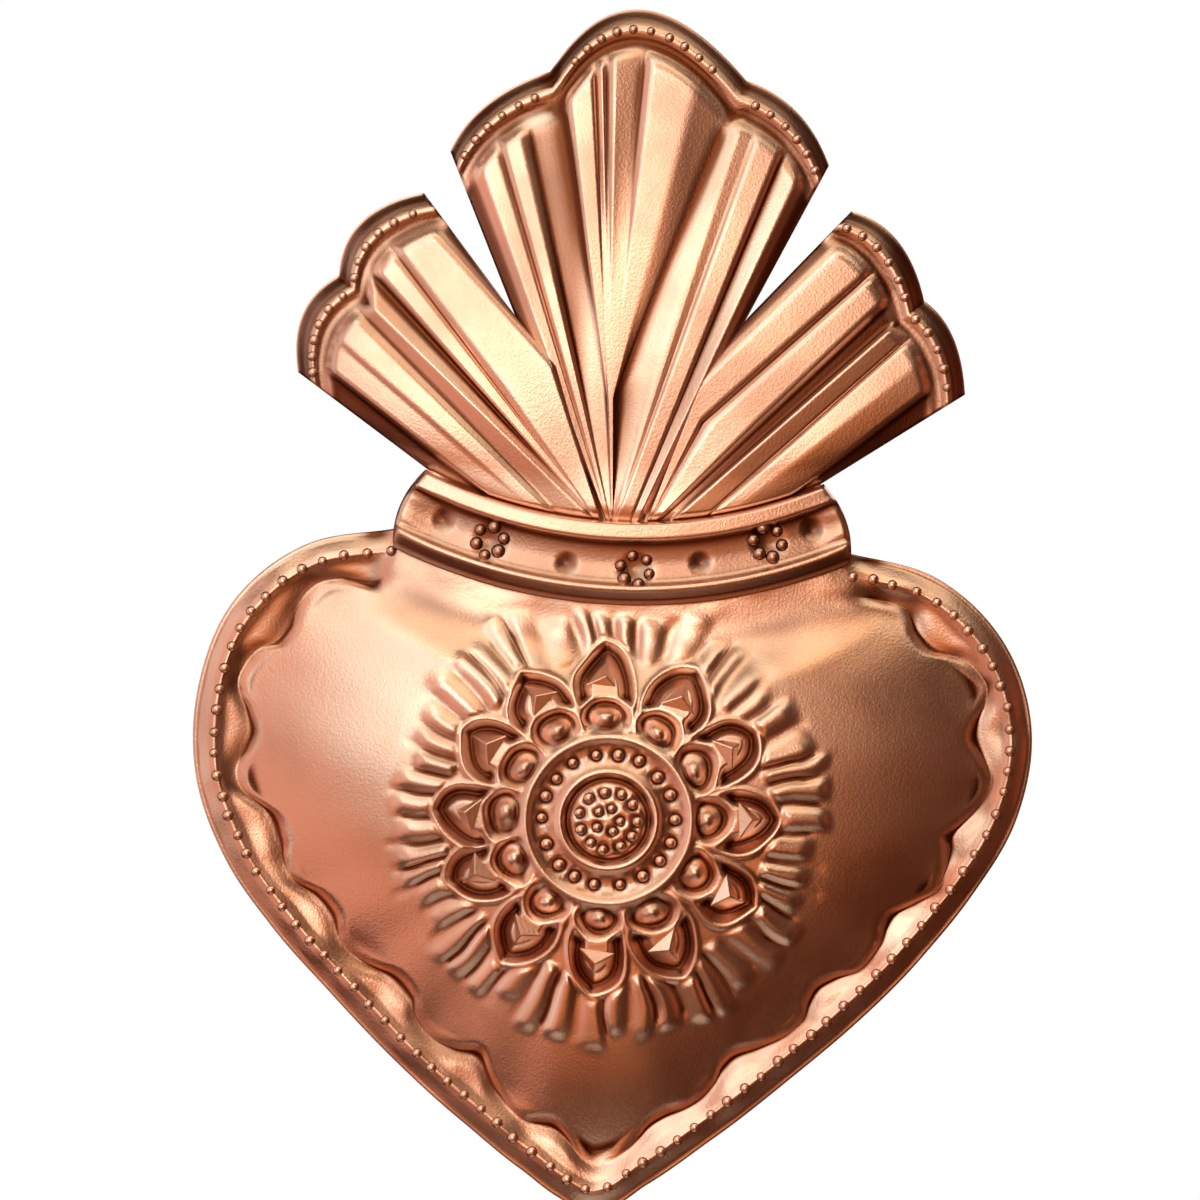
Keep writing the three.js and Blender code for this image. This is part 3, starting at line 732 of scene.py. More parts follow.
    def height(self, reach: float, angle: float, line: RadialLine,
               rosette: Callable[[float, float], float]) -> float:
        """Give the front's height off the wall.

        Args:
            reach: The distance from the rosette's centre.
            angle: The direction in radians.
            line: The radial line's places.
            rosette: Gives the rosette's rise at a reach and an angle.

        Returns:
            The height off the wall.
        """
        flower = 0.0
        if reach > line.wall:
            free = self.border((line.edge - reach) / line.slant, line)
        else:
            free = self.dome(reach, line)
            flower = rosette(reach, angle)
        along, up = self.arc.locate(*self.flat(reach, angle))
        if abs(along) > self.arc.half_length + self.crown_fade or up < -self.crown_reach:
            return free + flower
        run = mix(self.crown_run, self.crown_end_run, min(1.0, abs(along) / self.arc.half_length) ** 2)
        crown = ease((self.arc.foot - self.crown_flat - up) / run)
        beside = ease((abs(along) - self.arc.half_length + self.crown_lap) / self.crown_fade)
        flower *= ease((self.arc.foot - up) / self.flower_fade)
        return mix(mix(self.arc.level(along), free, crown), free, beside) + flower

    def flat(self, reach: float, angle: float) -> Point:
        """Return the x and z at a reach from the rosette's centre and an angle."""
        return self.centre[0] + reach * math.cos(angle), self.centre[1] + reach * math.sin(angle)

    def unevenness(self, x: float, z: float, inset: float) -> float:
        """Give the small unevenness that hand work leaves.

        Args:
            x: The place's x.
            z: The place's z.
            inset: How far in from the edge the place lies.

        Returns:
            The rise in millimetres.
        """
        dent = self.dent_rise * noise.noise(Vector((x, z, self.dent_layer)) * self.dent_pitch)
        wave = self.wave_rise * noise.noise(Vector((x, z, 0.0)) / self.wave_size)
        wave *= ease(inset / self.wave_start) * (1.0 - ease((inset - self.wave_end) / self.wave_fade))
        return dent * ease(inset / self.dent_fade) + wave

    def stretches(self, line: RadialLine, bloom: "Rosette") -> list[tuple[float, float, int]]:
        """List the radial stretches of the mesh: start, end and number of cells.

        Args:
            line: The radial line's places.
            bloom: The rosette.

        Returns:
            The stretches from the centre outwards.
        """
        edge, slant = line.edge, line.slant
        marks = [0.0, bloom.petal_start - self.petal_lead, bloom.petal_end + self.petal_trail,
                 bloom.ray_end + self.ray_trail, line.wall, edge - line.inset * slant,
                 edge - self.crest * slant, edge - self.margin * slant, edge]
        for spot in range(self.wall_mark, 0, -1):
            marks[spot] = min(marks[spot], marks[spot + 1] - self.least_stretch)
        return list(zip(marks, marks[1:], self.cells))

    def build(self, bloom: "Rosette", finish: bpy.types.Material) -> None:
        """Build the sheet, its beads and the petals' points.

        Args:
            bloom: The rosette.
            finish: The copper material.
        """
        bm = self.build_side(bloom, 1)
        shade_tone(bm)
        back = self.build_side(bloom, self.back_step)
        shade_tone(back, self.back_gain)
        bmesh.ops.translate(back, verts=back.verts[:], vec=(0.0, self.sheet, 0.0))
        join_back(bm, back)
        add_piece("heart_relief", bm, finish, Body.ORNAMENT, Slot.SHEET, ("heart_sheet",))
        self.build_border_beads(bloom, finish)
        self.build_rosette_beads(bloom, finish)
        self.build_points(bloom, finish)

    def build_side(self, bloom: "Rosette", step: int) -> bmesh.types.BMesh:
        """Build the front's surface, from loops about the rosette's centre.

        Args:
            bloom: The rosette.
            step: How many of the finest columns and rows one cell spans.

        Returns:
            The open sheet in millimetres.
        """
        columns = self.columns // step
        lines = [self.column(math.tau * k / columns) for k in range(columns)]
        spans = [[(low, high, math.ceil(cells / step)) for low, high, cells in self.stretches(line, bloom)]
                 for line in lines]
        rows = sum(cells for _, _, cells in spans[0])

        def spot(turn: float, out: float) -> tuple[int, float]:
            """Find a corner's radial line.

            Args:
                turn: The share of the turn.
                out: The share of the loops, counted outwards.

            Returns:
                The line's index and the reach along it.
            """
            slot = round(turn * columns) % columns
            loop = round(out * rows)
            for low, high, cells in spans[slot]:
                if loop <= cells:
                    return slot, mix(low, high, loop / cells)
                loop -= cells
            return slot, spans[slot][-1][1]

        def place(turn: float, out: float) -> Vector:
            """Place a corner.

            Args:
                turn: The share of the turn.
                out: The share of the loops, counted outwards.

            Returns:
                The corner in millimetres.
            """
            slot, reach = spot(turn, out)
            angle = math.tau * slot / columns
            x, z = self.flat(reach, angle)
            rise = self.height(reach, angle, lines[slot], bloom.rise)
            return Vector((x, -(rise + self.unevenness(x, z, lines[slot].edge - reach)), z))

        return relief_grid(columns, rows, place, lambda turn, out: bloom.keep(spot(turn, out)[1]))

    def surface(self, reach: float, angle: float, bloom: "Rosette") -> Vector:
        """Return the place on the front at a reach and an angle."""
        x, z = self.flat(reach, angle)
        return Vector((x, -self.height(reach, angle, self.column(angle), bloom.rise), z))

    def build_border_beads(self, bloom: "Rosette", finish: bpy.types.Material) -> None:
        """Set beads along the border's crest.

        Args:
            bloom: The rosette.
            finish: The copper material.
        """
        luck = random.Random(self.bead_seed)
        bm = bmesh.new()
        angle = math.radians(self.border_ends_deg[1] + self.bead_leads_deg[1])
        last = math.radians(360.0 + self.border_ends_deg[0] - self.bead_leads_deg[0])
        while angle < last:
            line = self.column(angle)
            inset = self.crest + luck.uniform(-self.bead_scatter, self.bead_scatter)
            reach = line.edge - inset * line.slant
            radius = self.bead_radius * luck.uniform(*self.bead_sizes)
            add_bead(bm, self.surface(reach, angle, bloom), radius)
            angle += self.bead_pitch * luck.uniform(*self.bead_paces) / (reach * line.slant)
        add_piece("border_beads", bm, finish, Body.ORNAMENT, Slot.SHEET)

    def build_rosette_beads(self, bloom: "Rosette", finish: bpy.types.Material) -> None:
        """Set beads on the rosette's button and in its dish.

        Args:
            bloom: The rosette.
            finish: The copper material.
        """
        bm = bmesh.new()
        for reach, angle, radius in bloom.bead_places():
            spot = self.surface(reach, angle, bloom) - Vector((0.0, bloom.bead_dent, 0.0))
            add_bead(bm, spot, radius, tone=bloom.bead_tone)
        add_piece("rosette_beads", bm, finish, Body.ORNAMENT, Slot.SHEET)

    def build_points(self, bloom: "Rosette", finish: bpy.types.Material) -> None:
        """Set a small three-sided point in each petal.

        Args:
            bloom: The rosette.
            finish: The copper material.
        """
        bm = bmesh.new()
        layer = bm.verts.layers.float.new("tone")
        lift = Vector((0.0, bloom.point_sink - bloom.point_height / 2.0, 0.0))
        lean = Matrix.Rotation(bloom.point_tilt, 4, "Z") @ Matrix.Rotation(math.pi / 2.0, 4, "X")
        for reach, angle, turn in bloom.point_places():
            spot = self.surface(reach, angle, bloom) + lift
            stand = Matrix.Translation(spot) @ Matrix.Rotation(turn, 4, "Y")
            made = bmesh.ops.create_cone(bm, segments=3, radius1=bloom.point_radius, radius2=0.0,
                                         depth=bloom.point_height, cap_ends=True,
                                         matrix=stand @ lean @ Matrix.Rotation(-math.pi / 2.0, 4, "Z"))
            for vert in made["verts"]:
                vert[layer] = bloom.point_tone
        bmesh.ops.bevel(bm, geom=bm.edges[:], offset=bloom.point_bevel, offset_type="OFFSET", segments=1,
                        profile=0.5, affect="EDGES", clamp_overlap=True, material=-1)
        add_piece("petal_points", bm, finish, Body.ORNAMENT, Slot.SHEET, smooth=False)


@dataclass
class Rosette:
    """The flower pressed into the dome: button, rings, petals and rays."""

    button: float = 4.7
    button_rise: float = 0.55
    button_tone: float = 0.6
    button_fade: float = 0.8
    groove: float = 5.1
    groove_depth: float = 0.6
    groove_half_width: float = 0.9
    inner_ring: float = 5.9
    inner_ring_rise: float = 0.5
    dish: float = 8.1
    dish_half_width: float = 2.2
    dish_depth: float = 0.55
    outer_ring: float = 10.3
    outer_ring_rise: float = 0.5
    ring_half_width: float = 0.85
    lobe_mid: float = 12.5
    lobe_half_depth: float = 2.9
    lobe_half_width: float = 3.2
    lobe_opening: float = 2.0
    lobe_lip: float = 0.3
    lobe_lip_share: float = 0.3
    lobe_moat: float = 0.8
    lobe_moat_mid: float = 0.64
    lobe_moat_reach: float = 0.36
    knob_rise: float = 0.6
    knob_share: float = 0.42
    petal_mid: float = 16.3
    petal_start: float = 15.4
    petal_end: float = 21.6
    petal_half_width: float = 3.9
    petal_lip: float = 0.3
    lip_half_width: float = 0.65
    petal_moat: float = 1.4
    moat_inset: float = 1.2
    moat_reach: float = 1.15
    flap_rise: float = 0.3
    petals_deg: Sequence[float] = (0, 30, 59, 91, 120, 148, 177, 202, 233, 265, 295, 328)
    bend: float = 1.0
    bend_seed: int = 7
    bend_size: float = 6.0
    bend_fade: float = 3.0
    rays_per_petal: int = 4
    ray_seed: int = 5
    ray_sway: float = 0.27
    ray_lead: float = 2.0
    ray_start: float = 20.6
    ray_foot: float = 1.5
    ray_gap: float = 0.2
    ray_gap_fade: float = 0.8
    ray_end: float = 28.4
    ray_ends_spread: Point = (-2.6, 0.6)
    ray_margin: float = 1.0
    ray_rise: float = 0.62
    ray_shares: Point = (0.6, 1.2)
    ray_fade: float = 1.9
    ray_flat_share: float = 0.55
    ray_flat_turn: float = math.radians(100.0)
    ray_flat_half_turn: float = math.radians(85.0)
    ray_groove: float = 0.14
    ray_groove_shares: Point = (0.4, 1.3)
    ray_groove_half_width: float = 1.0
    ray_groove_widths: Point = (0.8, 1.25)
    ray_groove_ends: Point = (-2.6, 0.4)
    ray_groove_fade: float = 1.4
    # Painted highlight: the rays' zone is made paler, fading in and out over these distances.
    ray_painted_highlight: float = 1.5
    ray_highlight_start: float = 1.5
    ray_highlight_end: float = 2.0
    point_seed: int = 9
    point_radius: float = 2.7
    point_height: float = 1.15
    point_tilt: float = math.radians(24.0)
    point_offset: float = 1.3
    point_sway: float = 0.3
    point_sink: float = 0.15
    point_bevel: float = 0.09
    point_tone: float = 0.62
    bead_seed: int = 3
    bead_rows: Sequence[tuple[float, int, float]] = ((1.5, 5, 0.6), (3.6, 11, 0.68), (8.2, 18, 0.7))
    bead_sway: float = 0.12
    bead_sizes: Point = (0.9, 1.1)
    bead_dent: float = 0.4
    bead_dent_reach: float = 1.9
    bead_tone: float = 0.6

    def __post_init__(self) -> None:
        """Set out the petals, the rays, the beads and the arcs of a petal."""
        luck = random.Random(self.ray_seed)
        noise.seed_set(self.bend_seed)
        self.petals = [math.radians(turn) for turn in self.petals_deg]
        self.dents = [(reach * math.cos(angle), reach * math.sin(angle), radius)
                      for reach, angle, radius in self.bead_places() if reach < self.outer_ring]
        self.ray_turns = []
        self.ray_ends = []
        for turn, following in zip(self.petals, [*self.petals[1:], self.petals[0] + math.tau]):
            for spot in range(self.rays_per_petal):
                place = spot + luck.uniform(-self.ray_sway, self.ray_sway)
                self.ray_turns.append(mix(turn, following, place / self.rays_per_petal))
                self.ray_ends.append(self.ray_end + luck.uniform(*self.ray_ends_spread))
        self.grooves = []
        for turn, following in zip(self.ray_turns, [*self.ray_turns[1:], self.ray_turns[0] + math.tau]):
            end = self.ray_end + luck.uniform(*self.ray_groove_ends)
            width = self.ray_groove_half_width * luck.uniform(*self.ray_groove_widths)
            depth = self.ray_groove * luck.uniform(*self.ray_groove_shares)
            self.grooves.append((turn_gap(following, turn) / 2.0, end, width, depth))
        self.ray_heights = [self.ray_rise * luck.uniform(*self.ray_shares) for _ in self.ray_turns]
        length = self.petal_end - self.petal_mid
        self.arch_offset = (length ** 2 - self.petal_half_width ** 2) / (2.0 * self.petal_half_width)
        self.arch_radius = self.arch_offset + self.petal_half_width

    def rise(self, reach: float, angle: float) -> float:
        """Give the rosette's rise above the plain dome.

        Args:
            reach: The distance from the rosette's centre.
            angle: The direction in radians.

        Returns:
            The rise in millimetres.
        """
        if reach > self.ray_end + self.ray_margin:
            return 0.0
        total = 0.0
        if reach < self.button:
            total += self.button_rise * (1.0 - (reach / self.button) ** 2)
        total -= self.groove_depth * hump(reach - self.groove, self.groove_half_width)
        total += self.inner_ring_rise * hump(reach - self.inner_ring, self.ring_half_width)
        total -= self.dish_depth * hump(reach - self.dish, self.dish_half_width)
        if reach < self.outer_ring:
            x, z = reach * math.cos(angle), reach * math.sin(angle)
            for bead_x, bead_z, radius in self.dents:
                gap = math.hypot(x - bead_x, z - bead_z)
                total -= self.bead_dent * hump(gap, radius * self.bead_dent_reach)
        total += self.outer_ring_rise * hump(reach - self.outer_ring, self.ring_half_width)
        if reach > self.outer_ring:
            reach, angle = self.bent(reach, angle)
            total += self.petal(reach, angle)
        if reach > self.ray_start - self.ray_lead:
            total += self.ray(reach, angle)
        return total

    def bent(self, reach: float, angle: float) -> Point:
        """Move a place a little, as uneven hand work would.

        Args:
            reach: The distance from the rosette's centre.
            angle: The direction in radians.

        Returns:
            The distance and the direction that the place has in the even pattern.
        """
        spot = Vector((reach * math.cos(angle), reach * math.sin(angle), 0.0)) / self.bend_size
        push = noise.noise_vector(spot) * (self.bend * ease((reach - self.outer_ring) / self.bend_fade))
        return reach + push.x, angle + push.y / reach

    def keep(self, reach: float) -> float:
        """Give the share of its tone that the metal keeps, less on the button and more on the rays, where it
        is a painted highlight.

        Args:
            reach: The distance from the rosette's centre.

        Returns:
            The share.
        """
        rays = ease((reach - self.ray_start) / self.ray_highlight_start)
        rays *= ease((self.ray_end + self.ray_margin - reach) / self.ray_highlight_end)
        plain = mix(self.button_tone, 1.0, ease((reach - self.button) / self.button_fade))
        return plain + (self.ray_painted_highlight - 1.0) * rays

    def petal(self, reach: float, angle: float) -> float:
        """Give the rise of the petals.

        Args:
            reach: The distance from the rosette's centre.
            angle: The direction in radians.

        Returns:
            The rise in millimetres.
        """
        along, across, inside = self.arch(reach, angle)
        moat = (inside - self.moat_inset) / self.moat_reach
        arch = self.petal_lip * hump(inside, self.lip_half_width)
        arch -= self.petal_moat * max(0.0, 1.0 - abs(moat))
        arch += self.flap_rise * clamp(moat)
        lobe = math.hypot((along - self.lobe_mid) / self.lobe_half_depth, across / self.lobe_half_width)
        total = self.lobe_lip * hump(lobe - 1.0, self.lobe_lip_share)
        total -= self.lobe_moat * max(0.0, 1.0 - abs(lobe - self.lobe_moat_mid) / self.lobe_moat_reach)
        total *= ease((along - self.outer_ring) / self.lobe_opening)
        total += self.knob_rise * hump(lobe, self.knob_share)
        return total + arch * ease((lobe - 1.0) / self.lobe_lip_share)

    def arch(self, reach: float, angle: float) -> tuple[float, float, float]:
        """Give a place in the nearest petal's own terms.

        Args:
            reach: The distance from the rosette's centre.
            angle: The direction in radians.

        Returns:
            The place along and across the petal, and how far it lies inside the petal's pointed arch.
        """
        gap = min((turn_gap(angle, turn) for turn in self.petals), key=abs)
        across, along = reach * math.sin(gap), reach * math.cos(gap)
        inside = self.arch_radius - math.hypot(abs(across) + self.arch_offset, along - self.petal_mid)
        return along, across, inside

    def ray(self, reach: float, angle: float) -> float:
        """Give the rise of the rays and their grooves.

        Args:
            reach: The distance from the rosette's centre.
            angle: The direction in radians.

        Returns:
            The rise in millimetres.
        """
        spot = min(range(len(self.ray_turns)), key=lambda k: abs(turn_gap(angle, self.ray_turns[k])))
        gap = turn_gap(angle, self.ray_turns[spot])
        half, groove_end, width, depth = self.grooves[spot if gap > 0.0 else spot - 1]
        share = clamp(abs(gap) / half)
        outside = -self.arch(reach, angle)[2]
        held = ease((reach - self.ray_start + self.ray_foot) / self.ray_foot)
        held *= ease((outside - self.ray_gap) / self.ray_gap_fade)
        crown = self.ray_heights[spot] * (1.0 - share ** 2) ** 2
        crown *= ease((self.ray_ends[spot] - reach) / self.ray_fade)
        trench = depth * hump((1.0 - share) * half * reach, width)
        trench *= ease((groove_end - reach) / self.ray_groove_fade)
        flat = hump(turn_gap(angle, self.ray_flat_turn), self.ray_flat_half_turn)
        return held * mix(1.0, self.ray_flat_share, flat) * (crown - trench)

    def bead_places(self) -> list[tuple[float, float, float]]:
        """Set out the rosette's beads.

        Returns:
            The reach, angle and radius of each bead.
        """
        luck = random.Random(self.bead_seed)
        places = []
        for row, count, size in self.bead_rows:
            for spot in range(count):
                angle = math.tau * (spot + luck.uniform(-self.bead_sway, self.bead_sway)) / count
                reach = row + luck.uniform(-self.bead_sway, self.bead_sway)
                places.append((reach, angle, size * luck.uniform(*self.bead_sizes)))
        return places

    def point_places(self) -> list[tuple[float, float, float]]:
        """Set out the pointed bosses on the petals.

        Returns:
            The reach, angle and turn of each boss.
        """
        luck = random.Random(self.point_seed)
        return [(self.petal_mid + self.point_offset, turn,
                 -turn + luck.uniform(-self.point_sway, self.point_sway)) for turn in self.petals]


@dataclass
class CollarBand:
    """The collar across the heart: ledge, sunken floor with punched flowers, and lower ridge."""

    arc: CollarArc
    seat: float = 0.3
    sheet: float = 0.5
    end_bulge: float = 1.6
    end_lap: float = 0.2
    end_round: float = 0.9
    columns: int = 220
    rows: int = 64
    scoop: float = 5.0
    scoop_rise: float = 0.7
    scoop_lead: float = 1.4
    scoop_half_height: float = 2.6
    floor_mid: float = -0.8
    floor_half_height: float = 2.2
    floor_dish: float = 0.2
    # Painted shade on the sunken floor, between its foot and its head.
    floor_painted_shade: float = 0.56
    floor_foot: float = -3.2
    floor_foot_fade: float = 0.6
    floor_head: float = 1.8
    floor_head_fade: float = 0.4
    # Painted shade on the step face below the lower ridge.
    step_painted_shade: float = 0.45
    step_head: float = -4.1
    step_fade: float = 0.5
    # Painted shade where the ledge falls to the floor.
    ledge_painted_shade: float = 0.5
    ledge_foot: float = 1.4
    ledge_half_height: float = 1.3
    flower_seed: int = 21
    flower_radius: float = 1.8
    flower_sway: Point = (0.92, 1.08)
    flower_beads: int = 6
    flower_bead: float = 0.85
    flower_bead_sizes: Point = (0.88, 1.12)
    # Painted shade: the flower beads' heads are painted dark.
    flower_bead_shade: float = 0.3
    flower_hollow: float = 0.5
    flower_hollow_reach: float = 1.5
    dimple_radius: float = 1.7
    dimple_depth: float = 0.45
    profile: Sequence[Point] = (
        (4.4, -0.6), (4.15, 0.75), (3.8, 1.1), (2.3, 1.15), (2.0, 0.98), (1.6, 0.1), (1.2, 0.0), (-2.9, 0.0),
        (-3.4, 0.35), (-3.8, 0.95), (-4.15, 1.02), (-4.5, 0.8), (-5.4, 0.12), (-6.1, 0.0))
    flowers: Sequence[Point] = ((-15.25, -14.9), (2.9, -18.5), (19.4, -15.1))
    dimples: Sequence[Point] = ((-21.0, -12.2), (-5.7, -17.7), (11.0, -17.6), (24.9, -13.4))

    def rise(self, along: float, up: float) -> float:
        """Give the collar's rise above its flat sheet.

        Args:
            along: The length along the arc.
            up: The height across it.

        Returns:
            The rise in millimetres.
        """
        spot = max(k for k in range(len(self.profile) - 1) if up <= self.profile[k][0] + ROUNDING)
        (high, first), (low, second) = self.profile[spot], self.profile[spot + 1]
        level = mix(first, second, (high - up) / (high - low))
        level -= self.floor_dish * hump(up - self.floor_mid, self.floor_half_height)
        end = self.half_length(up) - abs(along)
        inner = ease(self.scoop_lead - abs(up - self.floor_mid) / self.scoop_half_height)
        level += self.scoop_rise * inner * (1.0 - ease(end / self.scoop))
        x, z = self.arc.point(along, up)
        for spot_x, spot_z in self.dimples:
            level -= self.dimple_depth * hump(math.hypot(x - spot_x, z - spot_z), self.dimple_radius)
        hollow = self.flower_radius * self.flower_hollow_reach
        for spot_x, spot_z in self.flowers:
            level -= self.flower_hollow * hump(math.hypot(x - spot_x, z - spot_z), hollow)
        return level * ease((end + self.end_lap) / self.end_round)

    def half_length(self, up: float) -> float:
        """Return the collar's half length at a height across it."""
        return self.arc.half_length + self.end_bulge * (1.0 - (up / self.arc.foot) ** 2)

    def keep(self, up: float) -> float:
        """Give the share of its tone that the metal keeps, as painted shade on the step face, the sunken
        floor and the ledge's foot.

        Args:
            up: The height across the collar.

        Returns:
            The share.
        """
        step = mix(1.0, self.step_painted_shade, ease((self.step_head - up) / self.step_fade))
        sunk = ease((up - self.floor_foot) / self.floor_foot_fade)
        sunk *= ease((self.floor_head - up) / self.floor_head_fade)
        ledge = mix(1.0, self.ledge_painted_shade, hump(up - self.ledge_foot, self.ledge_half_height))
        return step * mix(1.0, self.floor_painted_shade, sunk) * ledge

    def front(self, along: float, up: float) -> Vector:
        """Return the place on the collar's front."""
        x, z = self.arc.point(along, up)
        return Vector((x, -(self.arc.level(along) + self.seat + self.sheet + self.rise(along, up)), z))

    def build(self, finish: bpy.types.Material) -> None:
        """Build the collar and its punched flowers.

        Args:
            finish: The copper material.
        """
        def place(along: float, up: float) -> Vector:
            """Return the corner at a share along and a share up."""
            height = mix(self.arc.foot, self.arc.top, up)
            return self.front((2.0 * along - 1.0) * self.half_length(height), height)

        bm = relief_grid(self.columns, self.rows, place,
                         lambda along, up: self.keep(mix(self.arc.foot, self.arc.top, up)))
        shade_tone(bm)
        thicken(bm, self.sheet)
        add_piece("collar_relief", bm, finish, Body.ORNAMENT, Slot.SHEET, ("collar_band",))
        self.build_flowers(finish)

    def build_flowers(self, finish: bpy.types.Material) -> None:
        """Set a ring of beads for each flower on the floor.

        Args:
            finish: The copper material.
        """
        bm = bmesh.new()
        luck = random.Random(self.flower_seed)
        for x, z in self.flowers:
            start = luck.uniform(0.0, 1.0)
            for spot in range(self.flower_beads):
                turn = start + math.tau * spot / self.flower_beads
                bead_x = x + self.flower_radius * math.cos(turn) * luck.uniform(*self.flower_sway)
                bead_z = z + self.flower_radius * math.sin(turn) * luck.uniform(*self.flower_sway)
                radius = self.flower_bead * luck.uniform(*self.flower_bead_sizes)
                add_bead(bm, self.front(*self.arc.locate(bead_x, bead_z)), radius, tone=self.flower_bead_shade)
        add_piece("collar_flowers", bm, finish, Body.ORNAMENT, Slot.SHEET)


@dataclass(frozen=True)
class Pleat:
    """A line of a leaf from the collar to the tip, straight or over a knee, with its rise at both ends."""

    tip: float
    foot: float
    tip_rise: float
    foot_rise: float
    cells: int = 6
    knee: Optional[Point] = None
    start: float = 0.0


@dataclass
class FanLeaf:
    """One leaf of the flame fan: a lobed tip and pleats that run down to the collar."""

    tips: Sequence[Point]
    pleats: Sequence[Pleat]
    bead_radius: float = 0.62
    bead_flatten: float = 0.8


@dataclass(frozen=True)
class FanLine:
    """A line between two pleats: its foot along the collar, knee, tip, rises, and where the tip's starts."""

    along: float
    knee: Vector
    tip: Vector
    tip_rise: float
    foot_rise: float
    start: float


@dataclass
class FlameFan:
    """The fan of three fluted leaves behind the collar."""

    arc: CollarArc
    sheet: float = 0.5
    tip_height: float = 1.6
    bulge: float = 0.4
    flange: float = 1.8
    flange_drop: float = 1.0
    # Painted shade on the lobes' turned-down flange, stopping just short of the cut edge.
    flange_painted_shade: float = 0.35
    flange_shade_fade: float = 0.6
    flange_shade_inset: float = 0.1
    flange_shade_inset_fade: float = 0.2
    bead_line: float = 2.6
    bead_ridge: float = 0.45
    bead_ridge_half_width: float = 1.0
    bead_sizes: Point = (0.88, 1.1)
    bead_pitch: float = 2.3
    bead_paces: Point = (0.93, 1.07)
    bead_lead: float = 0.045
    bead_trail: float = 0.03
    pace_step: float = 0.002
    trough: float = 4.2
    trough_depth: float = 0.12
    trough_half_width: float = 1.1
    panel_end: float = 4.6
    panel_fade: float = 1.8
    knee_share: float = 0.42
    pleat_run: float = 0.4
    foot_clear: float = 0.1
    foot_fade: float = 0.3
    foot_lift: float = 0.35
    foot_lift_run: float = 8.0
    # Painted light along the fan's foot by the collar.
    foot_painted_light: float = 1.7
    foot_light_run: float = 0.6
    valley_rise: float = 0.15
    valley_run: float = 0.6
    # Painted shade in the pleats' valleys.
    valley_painted_shade: float = 0.3
    hidden_rows: int = 2
    rows: int = 86
    row_power: float = 1.6
    leaves: Sequence[FanLeaf] = field(default_factory=list)

    def tip_point(self, leaf: FanLeaf, share: float) -> Vector:
        """Give the place on a leaf's lobed tip.

        Args:
            leaf: The leaf.
            share: The share along the tip.

        Returns:
            The x and z of the place.
        """
        lobes = (len(leaf.tips) - 1) // 2
        lobe = min(lobes - 1, int(share * lobes))
        run = share * lobes - lobe
        first, peak, last = (Vector(leaf.tips[2 * lobe + k]) for k in range(3))
        pull = peak * 2.0 - (first + last) / 2.0
        return first * (1.0 - run) ** 2 + pull * (2.0 * run * (1.0 - run)) + last * run ** 2

    def tip_pace(self, leaf: FanLeaf, share: float) -> float:
        """Return the length of a leaf's tip that one whole share would have at its pace there."""
        step = self.tip_point(leaf, share + self.pace_step) - self.tip_point(leaf, share - self.pace_step)
        return step.length / (2.0 * self.pace_step)

    def knee(self, leaf: FanLeaf, pleat: Pleat) -> Vector:
        """Find a pleat's knee.

        Args:
            leaf: The leaf.
            pleat: The pleat.

        Returns:
            The knee's x and z, on the pleat's straight line where no knee is given.
        """
        if pleat.knee:
            return Vector(pleat.knee)
        foot = Vector(self.arc.point(pleat.foot, self.arc.top + self.foot_clear))
        return foot.lerp(self.tip_point(leaf, pleat.tip), self.knee_share)

    def line(self, leaf: FanLeaf, slot: int, run: float) -> FanLine:
        """Blend two neighbouring pleats.

        Args:
            leaf: The leaf.
            slot: The index of the first pleat.
            run: The share of the way to the next pleat.

        Returns:
            The line between them.
        """
        first, second = leaf.pleats[slot], leaf.pleats[slot + 1]
        return FanLine(
            along=mix(first.foot, second.foot, run),
            knee=self.knee(leaf, first).lerp(self.knee(leaf, second), run),
            tip=self.tip_point(leaf, mix(first.tip, second.tip, run)),
            tip_rise=mix(first.tip_rise, second.tip_rise, run),
            foot_rise=mix(first.foot_rise, second.foot_rise, run),
            start=mix(first.start, second.start, run))

    def surface(self, line: FanLine, share: float) -> Vector:
        """Give a place on the fan's front.

        Args:
            line: The line that it lies on.
            share: The share of the way from the collar's top edge to the tip, negative under the collar.

        Returns:
            The place in millimetres.
        """
        level = self.arc.level(line.along)
        if share < 0.0:
            up = mix(self.arc.top + self.foot_clear, self.arc.tab_half_gap, -share)
            x, z = self.arc.point(line.along, up)
            return Vector((x, -level, z))
        flat, left, rise, climb = self.trace(line, share)
        height = mix(level, self.tip_height, rise ** 2) + self.bulge * math.sin(math.pi * rise)
        height -= self.flange_drop * (1.0 - ease(left / self.flange))
        height += self.bead_ridge * hump(left - self.bead_line, self.bead_ridge_half_width)
        height += self.foot_lift * (1.0 - ease(climb / self.foot_lift_run))
        height -= self.trough_depth * hump(left - self.trough, self.trough_half_width)
        held = ease((left - self.panel_end) / self.panel_fade) * ease(climb / self.foot_fade)
        return Vector((flat.x, -(height + self.pleat_rise(line, rise) * held), flat.y))

    def trace(self, line: FanLine, share: float) -> tuple[Vector, float, float, float]:
        """Give a place on a line of the fan.

        Args:
            line: The line.
            share: The share of the way from the collar's top edge to the tip.

        Returns:
            The x and z of the place, what is left to the tip, the share of the line's length, and the
            distance from the foot.
        """
        foot = Vector(self.arc.point(line.along, self.arc.top + self.foot_clear))
        upper = (line.tip - line.knee).length
        if share < self.knee_share:
            flat = foot.lerp(line.knee, share / self.knee_share)
            left = (line.knee - flat).length + upper
        else:
            flat = line.knee.lerp(line.tip, (share - self.knee_share) / (1.0 - self.knee_share))
            left = (line.tip - flat).length
        return flat, left, 1.0 - left / ((line.knee - foot).length + upper), (flat - foot).length

    def pleat_rise(self, line: FanLine, rise: float) -> float:
        """Return a line's own rise at a share of its length."""
        return mix(line.foot_rise, line.tip_rise, ease((rise - line.start) / self.pleat_run))

